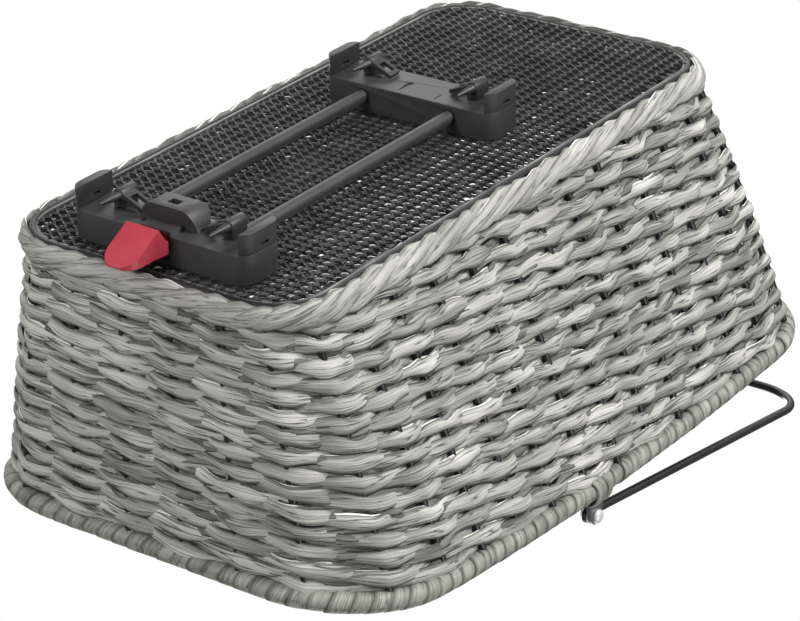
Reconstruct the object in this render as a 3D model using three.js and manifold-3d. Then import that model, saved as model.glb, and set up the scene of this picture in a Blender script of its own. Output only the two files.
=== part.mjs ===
// Bicycle basket for a rear rack: a woven shell on a welded wire frame with an expanded-metal floor,
// a swinging wire handle, and a clip-on rack adapter of two bars, two rods, hooks and a release lever.
// Millimetres, +Z up, the lever end at +X. The basket stands on the four end lugs of its adapter.
import * as THREE from 'three';
import { mergeVertices } from 'three/addons/utils/BufferGeometryUtils.js';
import Module from 'manifold-3d';

const wasm = await Module();
wasm.setup();

// Clearances
const SEAT_GAP = 0.3; // between pieces that rest on each other
const RUNNING_GAP = 0.3; // around a shaft in its hole

// Basket outline, from above, along the line of the upright stakes
const BASE_HALF_LENGTH = 218;
const BASE_HALF_WIDTH = 98;
const BASE_CORNER_RADIUS = 34;
const RIM_FRONT_REACH = 222;
const RIM_REAR_REACH = 305;
const RIM_HALF_WIDTH = 144.5;
const RIM_CORNER_RADIUS = 68;

// Height of the rim wire above the underside of the floor, at the middle of the basket
const WALL_HEIGHT = 198;
const RIM_RISE_AT_REAR = 16.57; // how much higher the rim runs above the floor's rear end than above its middle
const RIM_FALL_AT_ENDS = 10.31; // how much lower its arch runs above both ends of the floor
const WALL_BULGE = 0.04; // how far the wall swells between floor and rim, as a share of its flare

// Wire frame
const STAKE_COUNT = 38;
const STAKE_WIDTH = 3.6; // the stakes are square wire
const BASE_WIRE_RADIUS = 2.5;
const RIM_WIRE_RADIUS = 3;

// Woven parts
const WALL_THICKNESS = 9;
const BORDER_HEIGHT = 12;
const BORDER_THICKNESS = 6.5;
const RIM_WRAP_RADIUS = 6.4;
const PANEL_THICKNESS = 2.4;

// Adapter bars
const BAR_HALF_WIDTH = 61;
const BAR_DEPTH = 31;
const BAR_HEIGHT = 17;
const BAR_FRONT_CORNER = 10;
const BAR_REAR_CORNER = 6;
const BAR_SETBACK = 11; // from the floor's front end to the front bar's front face
const BAR_SPACING = 233; // from front face to front face
const LUG_DROP = 12.2; // how far the end lugs stand below the bars
const LUG_THICKNESS = 5.7;
const LUG_SLOT = { rear: 4.5, front: 2.5, low: 4.5, high: 2.5 }; // from the bar's middle and underside

// Marks moulded into the rear bar's underside
const MARK_DEPTH = 1;
const SLOT_MARK = { setback: 4, length: 8, side: 18, width: 1 };
const DROP_MARK = { setback: 3, length: 14, side: 8, radius: 1.8 };

// Pegs that hold the lugs and hooks in the bars
const TENON_HALF_LENGTH = 3.5;
const TENON_WIDTH = 3;
const TENON_HEIGHT = 6;
const TENON_ROOT = 0.5; // how deep a peg starts inside its own piece

// Rods that join the bars
const ROD_RADIUS = 4.1;
const ROD_HALF_SPACING = 31.2;
const ROD_BELOW_FLOOR = 10;
const ROD_SEAT_DEPTH = 14;

// Rack hooks
const HOOK_HALF_SPACING = 37.6;
const HOOK_WIDTH = 7.4;
const HOOK_LENGTH = 13;
const HORN_LENGTH = 15.5;
const HORN_RADIUS = 3;
const HORN_TIP_RADIUS = 0.8;
const HOOK_SETBACK = 15; // from the bar's front face to the root of the horn
const STRAP_FOOT_REACH = 22; // from the middle to the foot of the hook's sloping strap
const STRAP_WIDTH = 10;
const STRAP_THICKNESS = 2.6;
const STRAP_FRAME = 2; // width of the strap's edges round its window
const HOOK_FLOOR_GAP = 1.2;
const HORN_DROOP = 0.04; // radians that the horn points down
const HORN_ROOT = 1; // how deep the horn starts inside the hook's body
const HOOK_BACK_STEP = 1; // of the hook's block behind its round part

// Release lever and its housing
const LEVER_WIDTH = 22;
const LEVER_NECK_WIDTH = 15;
const LEVER_TIP_REACH = 35; // from the bar's front face to the tip of the tongue
const LEVER_HEEL_REACH = 9.8; // from the bar's front face to the lowest edge of the tongue
const LEVER_HEEL_DROP = 8.2; // from the bar's underside down to that edge
const LEVER_PIN_RADIUS = 2;
const LEVER_PIN_SETBACK = 21; // from the bar's front face to the pin
const LEVER_PIN_HEIGHT = 1.8; // of the pin above the bar's underside
const PIN_SEAT_DEPTH = 3.6;
const LEVER_BOSS_RADIUS = 4.7;
const LEVER_NECK_HEIGHT = 7.7;
const LEVER_NECK_LIFT = 0.9; // of the neck above the bar's underside
const LEVER_SIDE_GAP = 1.5;
const TONGUE_ROOT_GAP = 2.6; // from the bar's front face to the tongue
const TONGUE_STEP = { reach: 5, drop: 1.5 }; // of its underside, just before the bar
const TONGUE_TIP = { low: 3.6, middle: 5.2, high: 6.6, round: 2 }; // heights above the neck's underside
const TONGUE_BACK_REACH = 16; // from the bar's front face to where its upper side starts to fall
const TONGUE_CORNER = 9.5;
const NECK_REACH = 6; // from the bar's front face, inside the tongue
const NECK_START = 4; // from the pin
const FLAG_HALF_WIDTH = 4.5; // the lever's coloured block behind the window
const FLAG_LENGTH = 5.5;
const FLAG_DROP = 9.4; // from the pin to the flag's lower face
const FLAG_TRAVEL = 1.6; // how far the flag moves forward when the lever is lifted
const DOME_HALF_WIDTH = 20;
const DOME_DROP = 11.7;
const DOME_WALL = 2.5;
const DOME_SETBACK = 10; // from the bar's front face to the dome's front edge
const DOME_UNDERCUT = 2;
const DOME_BACK_INSET = 2.5; // from the bar's rear face to the dome's back
const DOME_BACK_CHAMFER = 2.5;
const DOME_SHOULDER = { start: 2, height: 4, end: 6 }; // of the arch's rounded shoulders
const DOME_FRONT_CORNER = 0.5;
const DOME_BACK_CORNER = 9;
const PAD_DROP = 3.1; // of the pad in front of the dome, below the bar's underside
const PAD_HALF_WIDTH = 10.5;
const BAY_ROOF = 2;
const WINDOW_LENGTH = 5.2;
const WINDOW_WIDTH = 7.4;
const SPRING_SETBACK = 8; // from the bar's front face to the spring's middle
const SPRING_RADIUS = 3;
const SPRING_WIRE_RADIUS = 0.5;
const SPRING_TURNS = 2;

// Screws and backing plates inside the basket
const SCREW_RADIUS = 2.5;
const SCREW_HALF_SPACING = 47.5;
const SCREW_GRIP = 12; // thread length inside the bar
const SCREW_HEAD_RADIUS = 4.6;
const SCREW_HEAD_HEIGHT = 2.8;
const PLATE_THICKNESS = 3;
const PLATE_HALF_LENGTH = 57;
const PLATE_HALF_WIDTH = 11;
const PLATE_CORNER_RADIUS = 5;
const PLATE_DIP = 0.5; // how far the tightened plates press the mesh floor down

// Handle
const HANDLE_X = -12; // pivot, from the floor's middle
const PIVOT_ABOVE_RIM = 19.2;
const TAB_THICKNESS = 3;
const TAB_TIP_RADIUS = 5.6;
const TAB_ROOT_WIDTH = 16;
const TAB_ROOT_GAP = 1.1; // from the rim wire to the tab's foot
const TAB_SHOULDER = 4; // from the rim wrap to where the tab starts to narrow
const RIVET_RADIUS = 2.5;
const RIVET_HEAD_RADIUS = 4.6;
const RIVET_HEAD_HEIGHT = 3;
const RIVET_HEAD_CHAMFER = 0.7;
const RIVET_UPSET = 1.6; // height of the hammered end inside the bail's eye
const RIVET_UPSET_FLARE = [1, 1.6]; // how far that end spreads beyond the shaft
const WASHER_THICKNESS = 1.2;
const WASHER_RADIUS = 5;
const BAIL_WIRE_RADIUS = 2.75;
const BAIL_REACH = 294; // from the pivot to the crossbar
const BAIL_CORNER_RADIUS = 34;
const BAIL_EYE_RADIUS = 6;
const BAIL_EYE_THICKNESS = 3;
const BAIL_REST_ANGLE = 10.2; // degrees above level, leaning to the rear
const BINDING_WIDTH = 17;
const BINDING_THICKNESS = 1.6;
const BINDING_LOW_ANGLE = 0.25; // radians below level where it starts on the rim
const BINDING_PEAK = { halfWidth: 3.2, rise: 4.6, from: 0.35 * Math.PI }; // where it climbs the tab

// Levels and places that follow from these sizes
const STEEPEST_LEAN = Math.atan((RIM_REAR_REACH - BASE_HALF_LENGTH) / WALL_HEIGHT);
const BAR_UNDERSIDE = LUG_DROP;
const BAR_TOP = BAR_UNDERSIDE + BAR_HEIGHT;
const FLOOR_Z = BAR_TOP + SEAT_GAP;
const FRONT_BAR_FACE = BASE_HALF_LENGTH - BAR_SETBACK;
const REAR_BAR_FACE = FRONT_BAR_FACE - BAR_SPACING;
const STAKE_REACH = STAKE_WIDTH / Math.SQRT2; // from a stake's middle to its edges
const ROD_Z = FLOOR_Z - ROD_BELOW_FLOOR;
const LEVER_PIN_X = FRONT_BAR_FACE - LEVER_PIN_SETBACK;
const LEVER_PIN_Z = BAR_UNDERSIDE + LEVER_PIN_HEIGHT;
const LEVER_NECK_Z = BAR_UNDERSIDE + LEVER_NECK_LIFT;
const LEVER_NECK_TOP = LEVER_NECK_Z + LEVER_NECK_HEIGHT;
const BAY_HALF_WIDTH = LEVER_NECK_WIDTH / 2 + LEVER_SIDE_GAP;
const DOME_LOW = BAR_UNDERSIDE - DOME_DROP;
const PLATE_BED = FLOOR_Z + PANEL_THICKNESS - PLATE_DIP;
const rimHeight = (x) => {
  const along = x / BASE_HALF_LENGTH;
  return FLOOR_Z + WALL_HEIGHT - RIM_RISE_AT_REAR * along - RIM_FALL_AT_ENDS * along * along;
};
const RIM_Z_AT_HANDLE = rimHeight(HANDLE_X);
const PIVOT_Z = RIM_Z_AT_HANDLE + PIVOT_ABOVE_RIM;

// Finishes
const finish = (color, roughness, metalness = 0) =>
  new THREE.MeshStandardMaterial({ color, roughness, metalness });
const WILLOW = finish(0x8f908a, 0.7);
const CANE = finish(0x84857a, 0.65);
const BLACK_WIRE = finish(0x1c1c1d, 0.45, 0.3);
const BLACK_PLASTIC = finish(0x3c3c3e, 0.55);
const RED_PLASTIC = finish(0xc93a4c, 0.45);
const DARK_STEEL = finish(0x55565a, 0.4, 0.8);
const ZINC = finish(0xc9cbce, 0.3, 0.9);

// Closed solids and how they are joined and cut
function solidFrom(geometry) {
  const plain = geometry.clone();
  plain.deleteAttribute('normal');
  plain.deleteAttribute('uv');
  const merged = mergeVertices(plain, 1e-4);
  return new wasm.Manifold(new wasm.Mesh({
    numProp: 3,
    vertProperties: new Float32Array(merged.attributes.position.array),
    triVerts: new Uint32Array(merged.index.array),
  }));
}

function geometryFrom(solid) {
  const { vertProperties, triVerts } = solid.getMesh();
  const geometry = new THREE.BufferGeometry();
  geometry.setAttribute('position', new THREE.BufferAttribute(new Float32Array(vertProperties), 3));
  geometry.setIndex(new THREE.BufferAttribute(new Uint32Array(triVerts), 1));
  return geometry;
}

const join = (first, ...others) => others.reduce((whole, piece) => whole.add(piece), first);
const cut = (first, ...others) => others.reduce((whole, piece) => whole.subtract(piece), first);
const common = (first, ...others) => others.reduce((whole, piece) => whole.intersect(piece), first);

function named(name, solid, material) {
  const geometry = geometryFrom(solid);
  geometry.computeVertexNormals();
  const mesh = new THREE.Mesh(geometry, material);
  mesh.name = name;
  return mesh;
}

// Simple solids, placed
function block([x0, x1], [y0, y1], [z0, z1]) {
  const box = new THREE.BoxGeometry(x1 - x0, y1 - y0, z1 - z0);
  return solidFrom(box.translate((x0 + x1) / 2, (y0 + y1) / 2, (z0 + z1) / 2));
}

function upright(shape, z0, z1, curveSegments = 3) {
  const options = { depth: z1 - z0, bevelEnabled: false, curveSegments };
  return solidFrom(new THREE.ExtrudeGeometry(shape, options).translate(0, 0, z0));
}

// A profile in X and Z, pushed out along Y from y0 to y1
function sideways(points, y0, y1) {
  const shape = new THREE.Shape(points.map(([x, z]) => new THREE.Vector2(x, z)));
  const geometry = new THREE.ExtrudeGeometry(shape, { depth: y1 - y0, bevelEnabled: false });
  return solidFrom(geometry.rotateX(Math.PI / 2).translate(0, y1, 0));
}

// A shape in Y and Z, pushed out along X from x0 to x1
function lengthways(shape, x0, x1, curveSegments = 8) {
  const options = { depth: x1 - x0, bevelEnabled: false, curveSegments };
  const geometry = new THREE.ExtrudeGeometry(shape, options);
  return solidFrom(geometry.rotateX(Math.PI / 2).rotateZ(Math.PI / 2).translate(x0, 0, 0));
}

function rod(axis, radius, from, to, [a, b], sides = 16) {
  const geometry = new THREE.CylinderGeometry(radius, radius, to - from, sides);
  geometry.translate(0, (from + to) / 2, 0);
  if (axis === 'x') geometry.rotateZ(-Math.PI / 2).translate(0, a, b);
  if (axis === 'y') geometry.translate(a, 0, b);
  if (axis === 'z') geometry.rotateX(Math.PI / 2).translate(a, b, 0);
  return solidFrom(geometry);
}

function roundedRectangle(x0, x1, halfWidth, frontRadius, rearRadius = frontRadius) {
  const shape = new THREE.Shape();
  shape.absarc(x1 - frontRadius, halfWidth - frontRadius, frontRadius, 0, Math.PI / 2);
  shape.absarc(x0 + rearRadius, halfWidth - rearRadius, rearRadius, Math.PI / 2, Math.PI);
  shape.absarc(x0 + rearRadius, rearRadius - halfWidth, rearRadius, Math.PI, 1.5 * Math.PI);
  shape.absarc(x1 - frontRadius, frontRadius - halfWidth, frontRadius, 1.5 * Math.PI, 2 * Math.PI);
  return shape;
}

// The outline of the basket: eight stretches, counterclockwise from the middle of the front end
const BASE_OUTLINE = {
  front: BASE_HALF_LENGTH, rear: -BASE_HALF_LENGTH, halfWidth: BASE_HALF_WIDTH, corner: BASE_CORNER_RADIUS,
};
const RIM_OUTLINE = {
  front: RIM_FRONT_REACH, rear: -RIM_REAR_REACH, halfWidth: RIM_HALF_WIDTH, corner: RIM_CORNER_RADIUS,
};

function onOutline({ front, rear, halfWidth, corner }, stretch, share) {
  const inner = halfWidth - corner;
  const along = (ax, ay, bx, by) => new THREE.Vector2(ax + (bx - ax) * share, ay + (by - ay) * share);
  const around = (cx, cy, quarter) => {
    const angle = (quarter + share) * Math.PI / 2;
    return new THREE.Vector2(cx + corner * Math.cos(angle), cy + corner * Math.sin(angle));
  };
  const stretches = [
    () => along(front, 0, front, inner),
    () => around(front - corner, inner, 0),
    () => along(front - corner, halfWidth, rear + corner, halfWidth),
    () => around(rear + corner, inner, 1),
    () => along(rear, inner, rear, -inner),
    () => around(rear + corner, -inner, 2),
    () => along(rear + corner, -halfWidth, front - corner, -halfWidth),
    () => around(front - corner, -inner, 3),
    () => along(front, -inner, front, 0),
  ];
  return stretches[stretch]();
}

// The level direction out of the basket; the odd stretches are the corners
function outwardAt({ stretch, share }) {
  const quarter = Math.floor(stretch / 2) + (stretch % 2 ? share : 0);
  return new THREE.Vector3(Math.cos(quarter * Math.PI / 2), Math.sin(quarter * Math.PI / 2), 0);
}

const inset = (outline, by) => ({
  front: outline.front - by,
  rear: outline.rear + by,
  halfWidth: outline.halfWidth - by,
  corner: outline.corner - by,
});

// A point of the wall's middle surface: height is 0 at the floor's underside and 1 at the rim wire
function onWall({ stretch, share }, height) {
  const base = onOutline(BASE_OUTLINE, stretch, share);
  const rim = onOutline(RIM_OUTLINE, stretch, share);
  const flare = height + WALL_BULGE * 4 * height * (1 - height);
  const plan = base.clone().lerp(rim, flare);
  return new THREE.Vector3(plan.x, plan.y, FLOOR_Z + (rimHeight(rim.x) - FLOOR_Z) * height);
}

function wallNormal({ stretch, share }, height) {
  const step = 0.02;
  const before = onWall({ stretch, share: Math.max(0, share - step) }, height);
  const after = onWall({ stretch, share: Math.min(1, share + step) }, height);
  const below = onWall({ stretch, share }, height - step);
  const above = onWall({ stretch, share }, height + step);
  return after.sub(before).cross(above.sub(below)).normalize();
}

// Places round the outline, with more of them in the corners
const STEPS_IN_STRETCH = [1, 4, 5, 4, 3, 4, 5, 4, 1];
const PLACES = STEPS_IN_STRETCH.flatMap((steps, stretch) =>
  Array.from({ length: steps }, (_, i) => ({ stretch, share: i / steps })));

// Where the stakes stand: at even distances along the middle of the wall
function evenStakes(count) {
  const reached = [0];
  PLACES.forEach((place, i) => {
    const next = PLACES[(i + 1) % PLACES.length];
    reached.push(reached[i] + onWall(place, 0.5).distanceTo(onWall(next, 0.5)));
  });
  return Array.from({ length: count }, (_, k) => {
    const wanted = reached.at(-1) * (k + 0.5) / count;
    const i = reached.findIndex((length) => length > wanted) - 1;
    const share = (wanted - reached[i]) / (reached[i + 1] - reached[i]);
    return { before: PLACES[i], after: PLACES[(i + 1) % PLACES.length], share };
  });
}

const onStake = ({ before, after, share }, height) =>
  onWall(before, height).lerp(onWall(after, height), share);

// A ring whose cross-section is the same loop of points at each place round the outline
function ringOf(sections) {
  const count = sections.length;
  const sides = sections[0].length;
  const geometry = new THREE.BufferGeometry();
  const positions = sections.flat().flatMap((point) => [point.x, point.y, point.z]);
  const index = [];
  for (let i = 0; i < count; i += 1) {
    const next = (i + 1) % count;
    for (let j = 0; j < sides; j += 1) {
      const side = (j + 1) % sides;
      index.push(i * sides + j, next * sides + j, next * sides + side);
      index.push(i * sides + j, next * sides + side, i * sides + side);
    }
  }
  geometry.setAttribute('position', new THREE.Float32BufferAttribute(positions, 3));
  geometry.setIndex(index);
  return solidFrom(geometry);
}

// A point beside a centre, so far out of the wall and so far up along its upper edge
function besideWall(place, centre, [out, up]) {
  const upward = onWall(place, 1).sub(onWall(place, 0.96)).normalize();
  return centre.clone().addScaledVector(wallNormal(place, 0.98), out).addScaledVector(upward, up);
}

const ringAlong = (centreAt, section) =>
  ringOf(PLACES.map((place) => section.map((point) => besideWall(place, centreAt(place), point))));

const arcPoints = (radius, from, to, steps) => Array.from({ length: steps + 1 }, (_, i) => {
  const angle = from + (to - from) * i / steps;
  return [radius * Math.cos(angle), radius * Math.sin(angle)];
});

const wireSection = (radius, sides = 6) =>
  arcPoints(radius, Math.PI / sides, 2 * Math.PI + Math.PI / sides, sides).slice(1);

// A round wire through points that lie in one plane, with a mitred section at each point
function bentWire(points, radius, sides) {
  const middle = points[Math.floor(points.length / 2)];
  const [before, after] = [middle.clone().sub(points[0]), points.at(-1).clone().sub(middle)];
  const flat = before.cross(after).normalize();
  const geometry = new THREE.BufferGeometry();
  const positions = points.flatMap((point, i) => {
    const into = point.clone().sub(points[Math.max(0, i - 1)]).normalize();
    const out = points[Math.min(points.length - 1, i + 1)].clone().sub(point).normalize();
    const across = new THREE.Vector3().crossVectors(into.add(out).normalize(), flat);
    return wireSection(radius, sides).flatMap(([a, b]) =>
      point.clone().addScaledVector(across, a).addScaledVector(flat, b).toArray());
  });
  const index = [];
  for (let i = 0; i + 1 < points.length; i += 1) {
    for (let j = 0; j < sides; j += 1) {
      const side = (j + 1) % sides;
      index.push(i * sides + j, (i + 1) * sides + j, (i + 1) * sides + side);
      index.push(i * sides + j, (i + 1) * sides + side, i * sides + side);
    }
  }
  const last = (points.length - 1) * sides;
  for (let j = 1; j + 1 < sides; j += 1) {
    index.push(0, j, j + 1);
    index.push(last, last + j + 1, last + j);
  }
  geometry.setAttribute('position', new THREE.Float32BufferAttribute(positions, 3));
  geometry.setIndex(index);
  return solidFrom(geometry);
}

// Points up the wall between two heights, a level distance outwards from the stakes
function upTheWall(place, offset, low, high, rows) {
  const outward = outwardAt(place);
  return Array.from({ length: rows + 1 }, (_, k) =>
    onWall(place, low + (high - low) * k / rows).addScaledVector(outward, offset));
}

// A stake stands on the base wire, bends once in the middle of the wall and ends in the rim wire
function stake(place, reach, foot) {
  const points = [foot, 0.5, 1].map((height) => onStake(place, height));
  return bentWire(points, reach, 4);
}

// Basket
const STAKES = evenStakes(STAKE_COUNT);
const rimZAt = ({ stretch, share }) => rimHeight(onOutline(RIM_OUTLINE, stretch, share).x);
const heightOf = (z, place) => (z - FLOOR_Z) / (rimZAt(place) - FLOOR_Z);
const rimLine = (place) => onWall(place, 1);

function basePanel() {
  const edge = inset(BASE_OUTLINE, BASE_WIRE_RADIUS + SEAT_GAP);
  const shape = new THREE.Shape(PLACES.map(({ stretch, share }) => onOutline(edge, stretch, share)));
  const panel = upright(shape, FLOOR_Z, FLOOR_Z + PANEL_THICKNESS);
  const dips = [FRONT_BAR_FACE, REAR_BAR_FACE].map((face) =>
    upright(plateShape(face, SEAT_GAP), PLATE_BED, FLOOR_Z + PANEL_THICKNESS + 1));
  return cut(panel, ...dips, ...screwHoles(FLOOR_Z - 1, FLOOR_Z + PANEL_THICKNESS + 1));
}

function wireFrame() {
  const onFloor = (place) => onWall(place, 0).setZ(FLOOR_Z + BASE_WIRE_RADIUS);
  const baseWire = ringAlong(onFloor, wireSection(BASE_WIRE_RADIUS));
  const rimWire = ringAlong(rimLine, wireSection(RIM_WIRE_RADIUS));
  const foot = BASE_WIRE_RADIUS / WALL_HEIGHT;
  return join(baseWire, rimWire, ...STAKES.map((place) => stake(place, STAKE_REACH, foot)));
}

// The wall's upper edge is hollowed, so that the round rim wrap sits in it
function wovenWall() {
  const thick = WALL_THICKNESS / 2;
  const seat = RIM_WRAP_RADIUS + SEAT_GAP;
  const shoulder = Math.asin(thick / seat);
  const hollow = arcPoints(seat, shoulder - Math.PI / 2, -shoulder - Math.PI / 2, 4);
  const band = ringOf(PLACES.map((place) => {
    const low = heightOf(FLOOR_Z + BORDER_HEIGHT + SEAT_GAP, place);
    const high = heightOf(rimZAt(place) - 2 * seat, place);
    return [
      ...upTheWall(place, thick, low, high, 3),
      ...hollow.map((point) => besideWall(place, rimLine(place), point)),
      ...upTheWall(place, -thick, low, high, 3).reverse(),
    ];
  }));
  return cut(band, ...STAKES.map((place) => stake(place, STAKE_REACH + SEAT_GAP, 0)));
}

function baseBorder() {
  const near = Math.max(BASE_WIRE_RADIUS, STAKE_REACH / Math.cos(STEEPEST_LEAN)) + SEAT_GAP;
  return ringOf(PLACES.map((place) => {
    const high = heightOf(FLOOR_Z + BORDER_HEIGHT, place);
    const outer = upTheWall(place, near + BORDER_THICKNESS, 0, high, 1);
    return [...outer, ...upTheWall(place, near, 0, high, 1).reverse()];
  }));
}

// The wrap is open along its underside, where the stakes come up into the rim wire
function rimWrap() {
  const halfOpening = STAKE_REACH / Math.cos(STEEPEST_LEAN / 2) + SEAT_GAP;
  const bore = RIM_WIRE_RADIUS + SEAT_GAP;
  const lips = [halfOpening / RIM_WRAP_RADIUS, halfOpening / bore].map((share) => Math.asin(share));
  const [outerFrom, boreFrom] = lips.map((lip) => lip - Math.PI / 2);
  const [outerTo, boreTo] = lips.map((lip) => 1.5 * Math.PI - lip);
  const outside = arcPoints(RIM_WRAP_RADIUS, outerFrom, outerTo, 9);
  const inside = arcPoints(bore / Math.cos(Math.PI / 6), boreTo, boreFrom, 6);
  const wrap = ringAlong(rimLine, [...outside, ...inside]);
  const halfSlot = TAB_ROOT_WIDTH / 2 + SEAT_GAP;
  const slots = [-1, 1].map((side) => {
    const middle = side * RIM_HALF_WIDTH;
    const reach = TAB_THICKNESS / 2 + SEAT_GAP;
    return block([HANDLE_X - halfSlot, HANDLE_X + halfSlot], [middle - reach, middle + reach],
      [RIM_Z_AT_HANDLE, RIM_Z_AT_HANDLE + 2 * RIM_WRAP_RADIUS]);
  });
  return cut(wrap, ...slots);
}

// Adapter bars, lugs, hooks and rods
const barShape = (face) =>
  roundedRectangle(face - BAR_DEPTH, face, BAR_HALF_WIDTH, BAR_FRONT_CORNER, BAR_REAR_CORNER);
const BOTH = [-1, 1];
const span = (side, near, far) => (side < 0 ? [-far, -near] : [near, far]);
const LUG_TENON = {
  halfLength: TENON_HALF_LENGTH,
  near: BAR_HALF_WIDTH - LUG_THICKNESS + SEAT_GAP,
  far: BAR_HALF_WIDTH - LUG_THICKNESS + SEAT_GAP + TENON_WIDTH,
  height: TENON_HEIGHT,
};
const HOOK_TENON = {
  halfLength: TENON_HALF_LENGTH,
  near: HOOK_HALF_SPACING + HOOK_WIDTH / 2 - SEAT_GAP - TENON_WIDTH,
  far: HOOK_HALF_SPACING + HOOK_WIDTH / 2 - SEAT_GAP,
  height: TENON_HEIGHT,
};

function screwHoles(from, to, faces = [FRONT_BAR_FACE, REAR_BAR_FACE]) {
  return faces.flatMap((face) => BOTH.map((side) =>
    rod('z', SCREW_RADIUS + RUNNING_GAP, from, to, [face - BAR_DEPTH / 2, side * SCREW_HALF_SPACING], 12)));
}

function tenon(kind, x, side, grow = 0) {
  return block([x - kind.halfLength - grow, x + kind.halfLength + grow],
    span(side, kind.near - grow, kind.far + grow),
    [BAR_UNDERSIDE - SEAT_GAP - TENON_ROOT, BAR_UNDERSIDE + kind.height + grow]);
}

function plainBar(face) {
  const middle = face - BAR_DEPTH / 2;
  const hookX = face - HOOK_SETBACK - HOOK_LENGTH / 2;
  const rodFrom = face === FRONT_BAR_FACE ? face - BAR_DEPTH - 1 : face - ROD_SEAT_DEPTH;
  const rodTo = face === FRONT_BAR_FACE ? face - BAR_DEPTH + ROD_SEAT_DEPTH : face + 1;
  return cut(
    upright(barShape(face), BAR_UNDERSIDE, BAR_TOP),
    ...BOTH.map((side) => tenon(LUG_TENON, middle, side, SEAT_GAP)),
    ...BOTH.map((side) => tenon(HOOK_TENON, hookX, side, SEAT_GAP)),
    ...BOTH.map((side) =>
      rod('x', ROD_RADIUS + SEAT_GAP, rodFrom, rodTo, [side * ROD_HALF_SPACING, ROD_Z])),
    ...screwHoles(BAR_TOP - SCREW_GRIP - 1, BAR_TOP + 1, [face]),
  );
}

function domeOutside() {
  const back = FRONT_BAR_FACE - BAR_DEPTH + DOME_BACK_INSET;
  const front = FRONT_BAR_FACE - DOME_SETBACK;
  const top = BAR_UNDERSIDE + 1;
  const wide = DOME_HALF_WIDTH;
  const [start, end] = [wide - DOME_SHOULDER.start, wide - DOME_SHOULDER.end];
  const shoulderZ = DOME_LOW + DOME_SHOULDER.height;
  const arch = new THREE.Shape();
  arch.moveTo(-wide, top);
  arch.lineTo(-wide, BAR_UNDERSIDE);
  arch.bezierCurveTo(-start, shoulderZ, -end, DOME_LOW, -wide / 2, DOME_LOW);
  arch.lineTo(wide / 2, DOME_LOW);
  arch.bezierCurveTo(end, DOME_LOW, start, shoulderZ, wide, BAR_UNDERSIDE);
  arch.lineTo(wide, top);
  const side = [[back, top], [back, DOME_LOW + DOME_BACK_CHAMFER], [back + DOME_BACK_CHAMFER, DOME_LOW],
    [front, DOME_LOW], [front - DOME_UNDERCUT, BAR_UNDERSIDE], [front - DOME_UNDERCUT, top]];
  const plan = roundedRectangle(back, front + 1, wide, DOME_FRONT_CORNER, DOME_BACK_CORNER);
  return common(lengthways(arch, back - 1, front + 1, 5),
    sideways(side, -wide - 1, wide + 1), upright(plan, DOME_LOW - 1, top + 1));
}

// The bay inside the bar holds the lever's neck, its round boss and the flag behind the window
function leverBay() {
  const back = LEVER_PIN_X - LEVER_BOSS_RADIUS - 2 * RUNNING_GAP;
  const bossFront = LEVER_PIN_X + LEVER_BOSS_RADIUS + 2 * RUNNING_GAP;
  const flagFront = LEVER_PIN_X + FLAG_LENGTH + FLAG_TRAVEL + 2 * RUNNING_GAP;
  const neckFloor = BAR_UNDERSIDE - PAD_DROP + DOME_WALL;
  const bossFloor = LEVER_PIN_Z - LEVER_BOSS_RADIUS - 2 * RUNNING_GAP;
  const wide = [-BAY_HALF_WIDTH, BAY_HALF_WIDTH];
  const flagWide = [-FLAG_HALF_WIDTH - 2 * RUNNING_GAP, FLAG_HALF_WIDTH + 2 * RUNNING_GAP];
  const windowX = LEVER_PIN_X + FLAG_LENGTH / 2 + RUNNING_GAP;
  const pinReach = BAY_HALF_WIDTH + PIN_SEAT_DEPTH + SEAT_GAP;
  return join(
    block([back, FRONT_BAR_FACE + 1], wide, [neckFloor, BAR_TOP - BAY_ROOF]),
    block([back, bossFront], wide, [bossFloor, neckFloor + 1]),
    block([LEVER_PIN_X - RUNNING_GAP, flagFront], flagWide, [DOME_LOW + DOME_WALL, neckFloor + 1]),
    block([windowX - WINDOW_LENGTH / 2, windowX + WINDOW_LENGTH / 2],
      [-WINDOW_WIDTH / 2, WINDOW_WIDTH / 2], [DOME_LOW - 1, DOME_LOW + DOME_WALL + 1]),
    rod('y', LEVER_PIN_RADIUS + SEAT_GAP, -pinReach, pinReach, [LEVER_PIN_X, LEVER_PIN_Z]),
  );
}

function frontBar() {
  const pad = block([LEVER_PIN_X, FRONT_BAR_FACE], [-PAD_HALF_WIDTH, PAD_HALF_WIDTH],
    [BAR_UNDERSIDE - PAD_DROP, BAR_UNDERSIDE + 1]);
  return cut(join(plainBar(FRONT_BAR_FACE), pad, domeOutside()), leverBay());
}

// The rear bar's underside has a narrow slot and a drop-shaped dimple, as moulded parts do
function rearBar() {
  const skin = [BAR_UNDERSIDE - 1, BAR_UNDERSIDE + MARK_DEPTH];
  const slotFront = REAR_BAR_FACE - SLOT_MARK.setback;
  const slot = block([slotFront - SLOT_MARK.length, slotFront],
    [-SLOT_MARK.side - SLOT_MARK.width / 2, -SLOT_MARK.side + SLOT_MARK.width / 2], skin);
  const dropFront = REAR_BAR_FACE - DROP_MARK.setback;
  const dropRear = dropFront - DROP_MARK.length;
  const drop = new THREE.Shape();
  drop.moveTo(dropFront, DROP_MARK.side);
  drop.lineTo(dropRear, DROP_MARK.side + DROP_MARK.radius);
  drop.absarc(dropRear, DROP_MARK.side, DROP_MARK.radius, Math.PI / 2, 1.5 * Math.PI);
  return cut(plainBar(REAR_BAR_FACE), slot, upright(drop, ...skin));
}

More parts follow.
